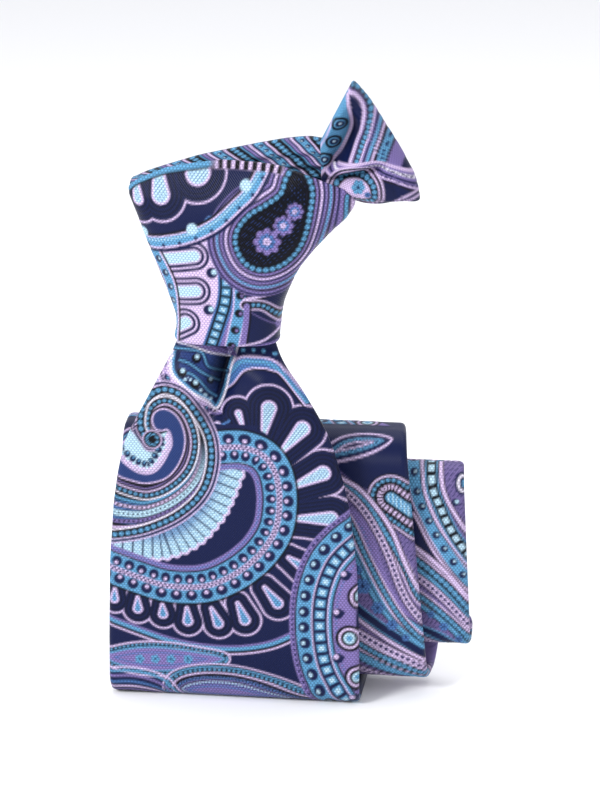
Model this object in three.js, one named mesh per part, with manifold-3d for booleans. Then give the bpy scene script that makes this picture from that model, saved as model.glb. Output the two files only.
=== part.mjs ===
// A ready-tied necktie stood up on its own rolled blade.
// Millimetres. +X is to the viewer's right of the front panel, -Y is the front, +Z is up.
// The blade leaves the knot, runs down the front, and is wound into a flat three-turn roll
// behind itself, so its layers from the front are panels 1, 3, 5, 6, 4 and 2.

import * as THREE from 'three';
import Module from 'manifold-3d';

// ---------------------------------------------------------------- driving dimensions

const SHELL_THICKNESS = 3.2;      // folded blade, face to seam side
const SHELL_WALL = 0.5;           // one layer of silk with its turned edge
const STRAP_THICKNESS = 2.6;      // narrower neck and tail parts
const STRAP_WALL = 0.42;
const SEAM_SLIT = 0.5;            // opening between the two folded edges at the back
const FIT_GAP = 0.3;              // between the interlining and the shell
const CREASE_GAP = 1.4;           // soft fold left open between two panels
const ARC_STEPS = 5;              // facets on a quarter bend

// Height of the strip's middle surface at each bend, and depth of each layer.
const PANEL_TOP = 118.4;
const FOLD_1 = 1.6;
const TOP_1 = 84.4;
const FOLD_2 = 6.0;
const TOP_2 = 73.4;
const FOLD_3 = 17.2;
const TIP_HEIGHT = 64.0;
const LAYER = { one: 0, two: 34, three: 10.5, four: 28, five: 16.5, six: 22 };
const BEND = { fold1: 5.5, top1: 9, fold2: 7, top2: 5.6, fold3: 2.7 };

// Front panel edges: height, left edge, right edge.
const FRONT_EDGES = [
  [PANEL_TOP, -35.6, -4.8],
  [115.5, -36.7, -3.9],
  [106.6, -41.4, 2.3],
  [97.7, -46.1, 7.3],
  [91.3, -49.5, 10.6],
  [84.8, -52.6, 13.0],
  [75.0, -54.8, 15.8],
  [65.4, -56.2, 18.0],
  [46.0, -57.6, 20.2],
  [20.0, -58.5, 21.2],
  [7.1, -58.5, 21.2],
];
// Edges of the roll at the middle of each later bend.
const ROLL_EDGES = {
  fold1: [-58.3, 21.8],
  top1: [-55.8, 34.2],
  fold2: [-51.0, 40.4],
  top2: [-42.5, 49.4],
  fold3: [-37.0, 55.1],
  shoulder: [-36.6, 55.4],
  tip: [7.9, 10.9],
};
const SHOULDER_HEIGHT = 23.0;

// Tail: straight strap behind the front panel.
const TAIL_DEPTH = 5.2;
const TAIL_CENTRE = -19.0;
const TAIL_TOP = 148;
const TAIL_TIP = 14;
const TAIL_WIDTHS = [
  [TAIL_TOP, 17],
  [103, 17],
  [84, 36],
  [32, 36],
  [TAIL_TIP, 3],
];

// Knot outline: height, left edge, right edge, front bulge, back bulge.
const KNOT = [
  [119.2, -36.3, -2.9, 8.0, 9.5],
  [122.0, -35.6, -2.8, 9.6, 11.2],
  [126.0, -34.9, -2.5, 10.8, 12.4],
  [132.0, -36.7, -2.0, 11.6, 13.0],
  [142.0, -40.7, 1.8, 12.0, 13.0],
  [151.7, -44.5, 9.6, 11.8, 13.0],
  [159.7, -47.6, 17.4, 10.6, 13.0],
  [164.4, -49.6, 20.2, 9.4, 13.0],
  [167.8, -50.4, 15.5, 8.2, 13.0],
  [170.6, -42.5, 8.0, 7.0, 13.0],
  [173.2, -31.0, 2.0, 5.6, 13.0],
  [175.4, -21.0, -9.0, 4.4, 13.0],
];
const WRAP_THICKNESS = 3;
const WRAP_SPLIT = 0.2;           // half the gap between front and back wraps
const BACK_WRAP = [122.0, 163.5];
const CORE = [120.2, 164.0];
const CHANNEL = { width: 17.8, depth: 3.8 };

// Neck strand over the knot's top: x, lower edge, upper edge.
const TOP_BAND = [
  [-49.4, 165.6, 167.6],
  [-46.0, 165.4, 169.6],
  [-40.0, 165.4, 171.8],
  [-29.0, 165.6, 175.4],
  [-18.0, 166.0, 178.0],
  [-10.0, 166.2, 179.8],
  [-2.0, 166.4, 181.4],
  [5.0, 166.6, 182.2],
  [8.0, 167.2, 181.6],
];
const BAND_DEPTH = [0.5, 9.0];

// Neck loop flattened into a wing: pinched end and folded end, lower and upper corners.
const WING = {
  pinchLow: [11.2, 165.8],
  pinchHigh: [10.6, 174.2],
  foldLow: [38.2, 163.2],
  foldHigh: [17.4, 199.6],
  front: 1.9,
  back: 7.5,
};

// The rest of the neck loop, folded to and fro behind the knot.
const BUNDLE = { left: -38, right: -6, low: 141, high: 168, first: 15.6, pitch: 4.0, layers: 5 };

const COLOUR = {
  shell: 0x27407e,
  knot: 0x2b4a8c,
  neck: 0x3a5a9c,
  wool: 0xd9d2c2,
  lining: 0x1b2550,
  thread: 0x20284a,
};

// ---------------------------------------------------------------- small helpers

const wasm = await Module();
wasm.setup();

const lerp = (a, b, t) => a + (b - a) * t;
const lerpPoint = (a, b, t) => a.map((value, i) => lerp(value, b[i], t));
const unit = (v) => {
  const length = Math.hypot(...v);
  return v.map((value) => value / length);
};

/** Rows sorted by their first column, interpolated linearly at key. */
function tableAt(rows, key) {
  const sign = rows[0][0] < rows[rows.length - 1][0] ? 1 : -1;
  for (let i = 1; i < rows.length; i++) {
    if (sign * key <= sign * rows[i][0]) {
      const span = rows[i][0] - rows[i - 1][0];
      const t = Math.max(0, (key - rows[i - 1][0]) / span);
      return lerpPoint(rows[i - 1], rows[i], t).slice(1);
    }
  }
  return rows[rows.length - 1].slice(1);
}

/** Closed solid through equal rings of points, with both ends capped. */
function loft(rings, contours) {
  const count = rings[0].length;
  const positions = rings.flat(2);
  const index = [];
  for (let r = 0; r + 1 < rings.length; r++) {
    for (let i = 0; i < count; i++) {
      const j = (i + 1) % count;
      const a = r * count + i;
      const b = r * count + j;
      index.push(a, b, b + count, a, b + count, a + count);
    }
  }
  const cap = (ring, contour, flip) => {
    const flat = contour.map(([u, v]) => new THREE.Vector2(u, v));
    const clockwise = THREE.ShapeUtils.isClockWise(flat);
    for (const [a, b, c] of THREE.ShapeUtils.triangulateShape(flat, [])) {
      const turned = THREE.ShapeUtils.isClockWise([flat[a], flat[b], flat[c]]) !== clockwise;
      const face = flip !== turned ? [a, c, b] : [a, b, c];
      index.push(...face.map((k) => ring * count + k));
    }
  };
  cap(0, contours[0], true);
  cap(rings.length - 1, contours[1], false);
  return outward(positions, index);
}

/** Indexed geometry whose faces point outward. */
function outward(positions, index) {
  const at = (k) => new THREE.Vector3().fromArray(positions, 3 * k);
  let volume = 0;
  for (let k = 0; k < index.length; k += 3) {
    volume += at(index[k]).dot(at(index[k + 1]).cross(at(index[k + 2])));
  }
  if (volume < 0) {
    for (let k = 0; k < index.length; k += 3) {
      [index[k + 1], index[k + 2]] = [index[k + 2], index[k + 1]];
    }
  }
  const geometry = new THREE.BufferGeometry();
  geometry.setAttribute('position', new THREE.Float32BufferAttribute(positions, 3));
  geometry.setIndex(index);
  geometry.computeVertexNormals();
  return geometry;
}

function box(low, high) {
  const size = high.map((value, i) => value - low[i]);
  const geometry = new THREE.BoxGeometry(...size);
  geometry.translate(...low.map((value, i) => value + size[i] / 2));
  return geometry;
}

function toManifold(geometry) {
  const index = Uint32Array.from(geometry.index.array);
  const points = Float32Array.from(geometry.attributes.position.array);
  const mesh = new wasm.Mesh({ numProp: 3, vertProperties: points, triVerts: index });
  mesh.merge();
  return new wasm.Manifold(mesh);
}

function fromManifold(solid) {
  const mesh = solid.getMesh();
  return outward(Array.from(mesh.vertProperties), Array.from(mesh.triVerts));
}

// ---------------------------------------------------------------- folded strips

/** Path of straight runs and quarter bends; corners are [a, b, bend radius]. */
function stripPath(corners) {
  const pieces = [];
  let length = 0;
  let from = corners[0].slice(0, 2);
  const add = (piece) => {
    piece.start = length;
    length += piece.length;
    pieces.push(piece);
  };
  for (let i = 1; i < corners.length; i++) {
    const here = corners[i].slice(0, 2);
    const back = corners[i - 1].slice(0, 2);
    const dir = unit([here[0] - back[0], here[1] - back[1]]);
    const last = i === corners.length - 1;
    const radius = last ? 0 : corners[i][2];
    const stop = [here[0] - dir[0] * radius, here[1] - dir[1] * radius];
    const run = Math.hypot(stop[0] - from[0], stop[1] - from[1]);
    if (run > 1e-6) {
      add({ length: run, from, dir, turn: null });
    }
    if (!last) {
      const next = corners[i + 1].slice(0, 2);
      const out = unit([next[0] - here[0], next[1] - here[1]]);
      add({ length: (radius * Math.PI) / 2, from: stop, dir, turn: out, radius });
      from = [here[0] + out[0] * radius, here[1] + out[1] * radius];
    }
  }
  return { pieces, length };
}

/** Position and face-side normal at distance s along a strip path. */
function pathAt(path, s) {
  const piece = path.pieces.find((p) => s <= p.start + p.length + 1e-6) ?? path.pieces.at(-1);
  const along = s - piece.start;
  if (!piece.turn) {
    const p = [piece.from[0] + piece.dir[0] * along, piece.from[1] + piece.dir[1] * along];
    return { p, n: [piece.dir[1], -piece.dir[0]] };
  }
  const angle = along / piece.radius;
  const sin = Math.sin(angle) * piece.radius;
  const rise = (1 - Math.cos(angle)) * piece.radius;
  const p = [0, 1].map((k) => piece.from[k] + piece.dir[k] * sin + piece.turn[k] * rise);
  const dir = [0, 1].map((k) => piece.dir[k] * Math.cos(angle) + piece.turn[k] * Math.sin(angle));
  return { p, n: [dir[1], -dir[0]] };
}

/** Distances that follow every bend and every given change of width. */
function pathStops(path, from, to, extra = []) {
  const stops = [from, to, ...extra];
  for (const piece of path.pieces) {
    const steps = piece.turn ? ARC_STEPS : 2;
    for (let k = 0; k <= steps; k++) {
      stops.push(piece.start + (piece.length * k) / steps);
    }
  }
  const kept = stops.filter((s) => s >= from - 1e-9 && s <= to + 1e-9).sort((a, b) => a - b);
  return kept.filter((s, i) => i === 0 || s - kept[i - 1] > 0.25 || s === to);
}

/** Cross-section of the folded shell: a flat C whose two edges nearly meet at the back. */
function sleeveSection(width, thickness, wall) {
  const a = width / 2;
  const b = thickness / 2;
  const innerA = a - wall - 0.1;
  const innerB = b - wall;
  const slit = Math.min(SEAM_SLIT, width / 4) / 2;
  const points = [[slit, -b]];
  const edge = Math.min(b, a - slit - 0.2);
  for (const side of [1, -1]) {
    for (let k = 0; k <= 4; k++) {
      const angle = (-Math.PI / 2 + (Math.PI * k) / 4) * side;
      points.push([side * (a - edge + edge * Math.cos(angle)), b * Math.sin(angle)]);
    }
  }
  points.push([-slit, -b], [-slit, -innerB], [-innerA, -innerB], [-innerA, innerB]);
  points.push([innerA, innerB], [innerA, -innerB], [slit, -innerB]);
  return points;
}

/** Cross-section of the interlining that lies inside the shell. */
function slabSection(width, thickness, wall) {
  const a = width / 2 - wall - 0.1 - FIT_GAP;
  const b = thickness / 2 - wall - FIT_GAP;
  return [[a, -b], [a, b], [-a, b], [-a, -b]];
}

/** A strip solid from stations that each give two edge points and their face normals. */
function stripSolid(stations, section) {
  const rings = [];
  const contours = [];
  for (const { low, high, normalLow, normalHigh } of stations) {
    const width = Math.hypot(...high.map((value, i) => value - low[i]));
    const contour = section(width);
    contours.push(contour);
    rings.push(contour.map(([u, v]) => {
      const t = u / width + 0.5;
      const normal = lerpPoint(normalLow, normalHigh, t);
      return lerpPoint(low, high, t).map((value, i) => value + normal[i] * v);
    }));
  }
  return loft(rings, [contours[0], contours.at(-1)]);
}

const bladeSection = (width) => sleeveSection(width, SHELL_THICKNESS, SHELL_WALL);
const bladeSlab = (width) => slabSection(width, SHELL_THICKNESS, SHELL_WALL);
const strapSection = (width) => sleeveSection(width, STRAP_THICKNESS, STRAP_WALL);
const strapSlab = (width) => slabSection(width, STRAP_THICKNESS, STRAP_WALL);

// ---------------------------------------------------------------- the blade and its roll

const bladePath = stripPath([
  [LAYER.one, PANEL_TOP],
  [LAYER.one, FOLD_1, BEND.fold1],
  [LAYER.two, FOLD_1, BEND.fold1],
  [LAYER.two, TOP_1, BEND.top1],
  [LAYER.three, TOP_1, BEND.top1],
  [LAYER.three, FOLD_2, BEND.fold2],
  [LAYER.four, FOLD_2, BEND.fold2],
  [LAYER.four, TOP_2, BEND.top2],
  [LAYER.five, TOP_2, BEND.top2],
  [LAYER.five, FOLD_3, BEND.fold3],
  [LAYER.six, FOLD_3, BEND.fold3],
  [LAYER.six, TIP_HEIGHT],
]);
const bends = bladePath.pieces.filter((piece) => piece.turn);
const bendEnd = (i) => bends[i].start + bends[i].length;
const between = (i, j) => (bendEnd(i) + bends[j].start) / 2;
const CREASES = [bendEnd(1), between(2, 3), between(4, 5), between(6, 7), between(8, 9)];
const shoulderStop = bladePath.length - (TIP_HEIGHT - SHOULDER_HEIGHT);

const bladeEdges = [
  ...FRONT_EDGES.map(([z, left, right]) => [PANEL_TOP - z, left, right]),
  [CREASES[0], ...ROLL_EDGES.fold1],
  [CREASES[1], ...ROLL_EDGES.top1],
  [CREASES[2], ...ROLL_EDGES.fold2],
  [CREASES[3], ...ROLL_EDGES.top2],
  [CREASES[4], ...ROLL_EDGES.fold3],
  [shoulderStop, ...ROLL_EDGES.shoulder],
  [bladePath.length, ...ROLL_EDGES.tip],
];

function bladeStations(from, to) {
  const stops = pathStops(bladePath, from, to, bladeEdges.map((row) => row[0]));
  return stops.map((s) => {
    const { p, n } = pathAt(bladePath, s);
    const [left, right] = tableAt(bladeEdges, s);
    const normal = [0, ...n];
    return { low: [left, ...p], high: [right, ...p], normalLow: normal, normalHigh: normal };
  });
}

const meshes = [];

function addMesh(name, geometry, colour, roughness = 0.6, metalness = 0) {
  const material = new THREE.MeshStandardMaterial({ color: colour, roughness, metalness });
  const mesh = new THREE.Mesh(geometry, material);
  mesh.name = name;
  meshes.push(mesh);
}

const cuts = [0, ...CREASES, bladePath.length];
for (let k = 1; k < cuts.length; k++) {
  const from = cuts[k - 1] + (k > 1 ? CREASE_GAP / 2 : 0);
  const to = cuts[k] - (k < cuts.length - 1 ? CREASE_GAP / 2 : 0);
  addMesh(`blade_shell_${k}`, stripSolid(bladeStations(from, to), bladeSection), COLOUR.shell);
  const lastPanel = k === cuts.length - 1;
  const inner = bladeStations(from + (k === 1 ? 1 : 0), lastPanel ? to - 5 : to);
  addMesh(`blade_interlining_${k}`, stripSolid(inner, bladeSlab), COLOUR.wool, 0.95);
}

// Lining sewn to the seam side of the pointed end.
const tippingFace = LAYER.six - SHELL_THICKNESS / 2 - FIT_GAP;
const tippingOutline = [[-34.0, 24.0], [53.0, 24.0], [9.4, TIP_HEIGHT - 3.0]];
const tippingRings = [tippingFace - 0.5, tippingFace].map((y) =>
  tippingOutline.map(([x, z]) => [x, y, z]));
addMesh('blade_tipping', loft(tippingRings, [tippingOutline, tippingOutline]), COLOUR.lining, 0.35);

// Bar tack and slip stitch on the seam side of panel 5, keeper loop on that of panel 4.
const seamFive = LAYER.five + SHELL_THICKNESS / 2 + FIT_GAP;
addMesh('blade_bar_tack', box([2.6, seamFive, 36], [9.6, seamFive + 0.6, 37.2]), COLOUR.thread);
addMesh('slip_stitch_thread', box([5.4, seamFive, 40], [6.0, seamFive + 0.4, 66]), COLOUR.thread);
const seamFour = LAYER.four - SHELL_THICKNESS / 2 - FIT_GAP;
addMesh('keeper_loop', box([-24, seamFour - 0.7, 46], [20, seamFour, 57]), COLOUR.shell);

// ---------------------------------------------------------------- the tail

const tailPath = stripPath([[TAIL_DEPTH, TAIL_TOP], [TAIL_DEPTH, TAIL_TIP]]);
function tailStations(from, to) {
  const changes = TAIL_WIDTHS.map(([z]) => TAIL_TOP - z);
  return pathStops(tailPath, from, to, changes).map((s) => {
    const { p, n } = pathAt(tailPath, s);
    const [width] = tableAt(TAIL_WIDTHS, p[1]);
    const normal = [0, ...n];
    return {
      low: [TAIL_CENTRE - width / 2, ...p],
      high: [TAIL_CENTRE + width / 2, ...p],
      normalLow: normal,
      normalHigh: normal,
    };
  });
}
const tailLength = tailPath.length;
addMesh('tail_shell', stripSolid(tailStations(0, tailLength), strapSection), COLOUR.shell);
addMesh('tail_interlining', stripSolid(tailStations(1, tailLength - 4), strapSlab), COLOUR.wool, 0.95);

const tailSeam = TAIL_DEPTH + STRAP_THICKNESS / 2 + FIT_GAP;
const tailOutline = [[-16.5, 33], [-16.5, 44], [16.5, 44], [16.5, 33], [0, TAIL_TIP + 3]]
  .map(([x, z]) => [TAIL_CENTRE + x, z]);
const tailRings = [tailSeam, tailSeam + 0.5].map((y) => tailOutline.map(([x, z]) => [x, y, z]));
addMesh('tail_tipping', loft(tailRings, [tailOutline, tailOutline]), COLOUR.lining, 0.35);
const tackLeft = TAIL_CENTRE - 3;
addMesh('tail_bar_tack', box([tackLeft, tailSeam, 48], [tackLeft + 6, tailSeam + 0.6, 49.2]), COLOUR.thread);

// ---------------------------------------------------------------- the knot

/** Half of a rounded section between the knot's left and right edges; side -1 is the front. */
function halfSection(z, side, inset, split) {
  const [left, right, front, back] = tableAt(KNOT, z);
  const centre = (left + right) / 2;
  const a = (right - left) / 2 - inset;
  const b = (side < 0 ? front : back) - inset;
  const points = [];
  const steps = 14;
  for (let k = 0; k <= steps; k++) {
    const angle = (Math.PI * k) / steps;
    const cos = Math.cos(angle);
    const x = centre - a * Math.sign(cos) * Math.abs(cos) ** 0.8;
    points.push([x, side * Math.max(split, b * Math.abs(Math.sin(angle)) ** 0.8)]);
  }
  return points;
}

function knotHeights(low, high) {
  const rows = KNOT.map((row) => row[0]).filter((z) => z > low + 0.4 && z < high - 0.4);
  return [low, ...rows, high];
}

function wrapSolid(side, low, high) {
  const rings = [];
  const contours = [];
  for (const z of knotHeights(low, high)) {
    const outer = halfSection(z, side, 0, WRAP_SPLIT);
    const inner = halfSection(z, side, WRAP_THICKNESS, WRAP_SPLIT).reverse();
    const contour = [...outer, ...inner];
    contours.push(contour);
    rings.push(contour.map(([x, y]) => [x, y, z]));
  }
  return loft(rings, [contours[0], contours.at(-1)]);
}

addMesh('knot_front_wrap', wrapSolid(-1, KNOT[0][0], KNOT.at(-1)[0]), COLOUR.knot);
addMesh('knot_back_wrap', wrapSolid(1, ...BACK_WRAP), COLOUR.knot);

const coreRings = knotHeights(...CORE).map((z) => {
  const inset = WRAP_THICKNESS + 0.4;
  const front = halfSection(z, -1, inset, 0).map(([x, y]) => [x, y, z]);
  const back = halfSection(z, 1, inset, 0).map(([x, y]) => [x, y, z]).reverse().slice(1, -1);
  return [...front, ...back];
});
const coreContour = (ring) => ring.map(([x, y]) => [x, y]);
const coreBlock = loft(coreRings, [coreContour(coreRings[0]), coreContour(coreRings.at(-1))]);
const channel = box(
  [TAIL_CENTRE - CHANNEL.width / 2, TAIL_DEPTH - CHANNEL.depth / 2, CORE[0] - 5],
  [TAIL_CENTRE + CHANNEL.width / 2, TAIL_DEPTH + CHANNEL.depth / 2, CORE[1] + 5],
);
addMesh('knot_core', fromManifold(toManifold(coreBlock).subtract(toManifold(channel))), COLOUR.knot);

const bandContours = [];
const bandRings = TOP_BAND.map(([x, low, high]) => {
  const ring = [];
  for (let k = 0; k < 16; k++) {
    const angle = (2 * Math.PI * k) / 16;
    const y = lerp(...BAND_DEPTH, 0.5 + 0.5 * Math.sin(angle));
    ring.push([x, y, lerp(low, high, 0.5 + 0.5 * Math.cos(angle))]);
  }
  bandContours.push(ring.map(([, y, z]) => [y, z]));
  return ring;
});
const bandBlock = loft(bandRings, [bandContours[0], bandContours.at(-1)]);
addMesh('knot_top_band', bandBlock, COLOUR.neck);

// ---------------------------------------------------------------- the neck loop

/** Stations of the wing: front layer outward, round the fold, back layer inward. */
function wingStations(inset) {
  const radius = (WING.back - WING.front) / 2;
  const middle = (WING.back + WING.front) / 2;
  const edges = [[WING.pinchLow, WING.foldLow], [WING.pinchHigh, WING.foldHigh]];
  const dirs = edges.map(([from, to]) => unit([to[0] - from[0], to[1] - from[1]]));
  const place = (k, t, angle) => {
    const [from, to] = edges[k];
    const reach = Math.hypot(to[0] - from[0], to[1] - from[1]) - radius - STRAP_THICKNESS / 2;
    const out = inset + (reach - inset) * t + radius * Math.sin(angle);
    const x = from[0] + dirs[k][0] * out;
    const z = from[1] + dirs[k][1] * out;
    return [x, middle - radius * Math.cos(angle), z];
  };
  const normal = (k, angle) => {
    const sin = Math.sin(angle);
    return [dirs[k][0] * sin, -Math.cos(angle), dirs[k][1] * sin];
  };
  const steps = [];
  for (let k = 0; k < 4; k++) {
    steps.push([k / 4, 0]);
  }
  for (let k = 0; k <= 2 * ARC_STEPS; k++) {
    steps.push([1, (Math.PI * k) / (2 * ARC_STEPS)]);
  }
  for (let k = 3; k >= 0; k--) {
    steps.push([k / 4, Math.PI]);
  }
  return steps.map(([t, angle]) => ({
    low: place(0, t, angle),
    high: place(1, t, angle),
    normalLow: normal(0, angle),
    normalHigh: normal(1, angle),
  }));
}
addMesh('neck_wing_shell', stripSolid(wingStations(0), strapSection), COLOUR.neck);
addMesh('neck_wing_interlining', stripSolid(wingStations(1.5), strapSlab), COLOUR.wool, 0.95);

const bundleCorners = [[BUNDLE.right + 3, BUNDLE.first]];
for (let k = 0; k < BUNDLE.layers; k++) {
  const y = BUNDLE.first + k * BUNDLE.pitch;
  const end = k % 2 === 0 ? BUNDLE.left : BUNDLE.right;
  if (k < BUNDLE.layers - 1) {
    bundleCorners.push([end, y, BUNDLE.pitch / 2], [end, y + BUNDLE.pitch, BUNDLE.pitch / 2]);
  } else {
    bundleCorners.push([end + 4, y]);
  }
}
const bundlePath = stripPath(bundleCorners);
function bundleStations(from, to) {
  return pathStops(bundlePath, from, to).map((s) => {
    const { p, n } = pathAt(bundlePath, s);
    const normal = [...n, 0];
    return {
      low: [...p, BUNDLE.low],
      high: [...p, BUNDLE.high],
      normalLow: normal,
      normalHigh: normal,
    };
  });
}
const bundleShell = stripSolid(bundleStations(0, bundlePath.length), strapSection);
addMesh('neck_folds_shell', bundleShell, COLOUR.neck);
const bundleWool = stripSolid(bundleStations(1, bundlePath.length - 1), strapSlab);
addMesh('neck_folds_interlining', bundleWool, COLOUR.wool, 0.95);

// ---------------------------------------------------------------- row frame

// The origin is the middle of the whole tie's footprint, on the surface it stands on.
const bounds = new THREE.Box3();
for (const mesh of meshes) {
  mesh.geometry.computeBoundingBox();
  bounds.union(mesh.geometry.boundingBox);
}
const centre = bounds.getCenter(new THREE.Vector3());
const necktie = new THREE.Group();
necktie.name = 'necktie';
for (const mesh of meshes) {
  mesh.geometry.translate(-centre.x, -centre.y, -bounds.min.z);
  necktie.add(mesh);
}

export default necktie;
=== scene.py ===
import math

import bpy
import numpy as np
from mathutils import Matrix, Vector


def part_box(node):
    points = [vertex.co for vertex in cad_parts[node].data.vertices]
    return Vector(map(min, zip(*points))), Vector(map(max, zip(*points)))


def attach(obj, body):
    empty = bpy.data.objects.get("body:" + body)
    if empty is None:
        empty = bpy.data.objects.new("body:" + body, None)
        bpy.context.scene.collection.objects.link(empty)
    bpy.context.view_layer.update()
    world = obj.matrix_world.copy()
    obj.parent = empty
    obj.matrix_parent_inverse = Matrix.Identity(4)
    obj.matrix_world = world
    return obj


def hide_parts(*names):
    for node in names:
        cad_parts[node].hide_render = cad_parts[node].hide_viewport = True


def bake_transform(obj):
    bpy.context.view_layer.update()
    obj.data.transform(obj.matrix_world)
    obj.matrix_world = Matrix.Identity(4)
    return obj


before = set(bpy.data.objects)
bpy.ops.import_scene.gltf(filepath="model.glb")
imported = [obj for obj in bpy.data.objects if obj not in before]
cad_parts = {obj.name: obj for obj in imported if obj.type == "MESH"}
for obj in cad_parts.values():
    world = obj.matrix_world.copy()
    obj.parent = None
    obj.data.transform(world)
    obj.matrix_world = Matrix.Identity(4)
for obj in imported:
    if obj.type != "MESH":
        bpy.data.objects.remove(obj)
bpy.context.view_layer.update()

# ---------------------------------------------------------------- dimensions
# All lengths in this file are millimetres in the maker's own frame: x to the right, y away from
# the front panel, z up from the floor. shown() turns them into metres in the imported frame.

SHIFT_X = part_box("blade_shell_1")[0][0] * 1000 + 58.5
SHIFT_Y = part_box("blade_shell_2")[1][1] * 1000 - 35.6

SHELL = 3.2                       # thickness of the folded blade
STRAP = 2.6                       # thickness of the neck and tail parts
BLADE_PILE, KNOT_PILE = 0.13, 0.12  # how far the figure stands above the satin
KNOT_MOUTH = 119.2                # height of the knot's lower lip
KNOT_BROW = 164.5                 # above this the knot's sides rise straight
PANEL_TOP = 118.4
LAYER = {1: 0.0, 2: 34.0, 3: 10.5, 4: 28.0, 5: 16.5, 6: 22.0}
TIP = 64.0
SHOULDER = 23.0

# Strip's middle line in (y, z) with the radius of each quarter bend.
BLADE_LINE = [
    (0.0, PANEL_TOP, 0), (0.0, 1.6, 5.5), (34.0, 1.6, 5.5), (34.0, 84.4, 9), (10.5, 84.4, 9),
    (10.5, 6.0, 7), (28.0, 6.0, 7), (28.0, 73.4, 5.6), (16.5, 73.4, 5.6), (16.5, 17.2, 2.7),
    (22.0, 17.2, 2.7), (22.0, TIP, 0),
]
# Height, left edge and right edge of the front panel.
FRONT_EDGES = [
    (124.4, -33.4, -7.0), (118.4, -35.6, -4.8), (115.5, -36.7, -3.9), (106.6, -41.4, 2.3),
    (97.7, -46.1, 7.3), (91.3, -49.5, 10.6), (84.8, -52.6, 13.0), (75.0, -54.8, 15.8),
    (65.4, -56.2, 18.0), (46.0, -57.6, 20.2), (20.0, -58.5, 21.2), (7.1, -58.5, 21.2),
]
ROLL_EDGES = [(-58.3, 21.8), (-55.8, 33.4), (-51.0, 42.6), (-42.5, 51.8), (-37.0, 55.1)]
# Height, left, right, front bulge and back bulge of the knot.
KNOT = np.array([
    (119.2, -36.3, -3.9, 8.4, 9.5), (122.0, -35.6, -3.8, 10.0, 11.2),
    (126.0, -34.9, -3.5, 11.0, 12.4), (132.0, -36.7, -2.6, 11.6, 13.0),
    (142.0, -40.7, 1.4, 12.0, 13.0), (151.7, -44.5, 9.6, 11.8, 13.0),
    (159.7, -47.6, 17.4, 10.6, 13.0), (164.4, -49.6, 20.2, 9.4, 13.0),
    (167.8, -50.4, 15.5, 8.2, 11.5), (170.6, -42.5, 8.0, 7.0, 8.0),
    (173.2, -31.0, 2.0, 5.6, 4.0), (175.4, -21.0, -9.0, 4.4, 2.0),
])
TOP_BAND = np.array([
    (-49.4, 165.6, 167.6), (-46.0, 165.4, 169.6), (-40.0, 165.4, 171.8), (-29.0, 165.6, 175.4),
    (-18.0, 166.0, 178.0), (-10.0, 166.2, 179.8), (-2.0, 166.4, 181.4), (5.0, 166.6, 182.2),
    (8.0, 167.2, 181.6),
])
TAIL = {"y": 5.2, "x": -19.0, "top": 148.0, "tip": 14.0}
TAIL_WIDTHS = [(14.0, 3.0), (32.0, 36.0), (84.0, 36.0), (103.0, 17.0), (148.0, 17.0)]
BUNDLE = {"left": -38.0, "right": -6.0, "low": 141.0, "high": 168.0, "first": 15.6, "pitch": 4.0}


def shown(points):
    """Millimetres in the maker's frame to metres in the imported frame."""
    return (points + np.array([SHIFT_X, SHIFT_Y, 0.0])) * 0.001


def smooth(low, high, value):
    """0 below low, 1 above high, with a soft S between them."""
    t = np.clip((value - low) / (high - low), 0, 1)
    return t * t * (3 - 2 * t)


# ---------------------------------------------------------------- yarn colours


def yarn_colour(red, green, blue):
    """A dyed yarn's colour, given in the usual 0-255 steps, as linear light."""
    c = np.array([red, green, blue]) / 255
    return np.where(c < 0.04045, c / 12.92, ((c + 0.055) / 1.055) ** 2.4)


# NIGHT is also used as painted shade beside the crease of the front panel's dimple, below the knot.
NIGHT = yarn_colour(3, 5, 18)
NAVY = yarn_colour(15, 25, 68)
DENIM = yarn_colour(38, 58, 112)
STEEL = yarn_colour(62, 98, 150)
CYAN = yarn_colour(80, 134, 172)
PALE = yarn_colour(158, 188, 206)
LILAC = yarn_colour(112, 98, 152)
ROSE = yarn_colour(188, 168, 204)
WHITE = yarn_colour(216, 210, 226)

# ---------------------------------------------------------------- drawing on the cloth


def curve(points, closed=False, step=9):
    """A smooth line through the given points: Catmull-Rom pieces cut into short straight ones."""
    p = np.array(points, float)
    if closed:
        ring = np.vstack([p[-1], p, p[0], p[1]])
    else:
        ring = np.vstack([2 * p[0] - p[1], p, 2 * p[-1] - p[-2]])
    t = np.linspace(0, 1, step, endpoint=False)[:, None]
    out = []
    for a, b, c, d in zip(ring, ring[1:], ring[2:], ring[3:]):
        out.append(0.5 * (2 * b + (c - a) * t + (2 * a - 5 * b + 4 * c - d) * t ** 2
                          + (3 * b - a - 3 * c + d) * t ** 3))
    out = np.vstack(out)
    return out if closed else np.vstack([out, p[-1]])


class Field:
    """Where each point of the cloth lies beside a drawn line: d across it, t along it."""

    def __init__(self, at, d, t, length):
        self.at, self.d, self.t, self.length = at, d, t, length


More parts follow.
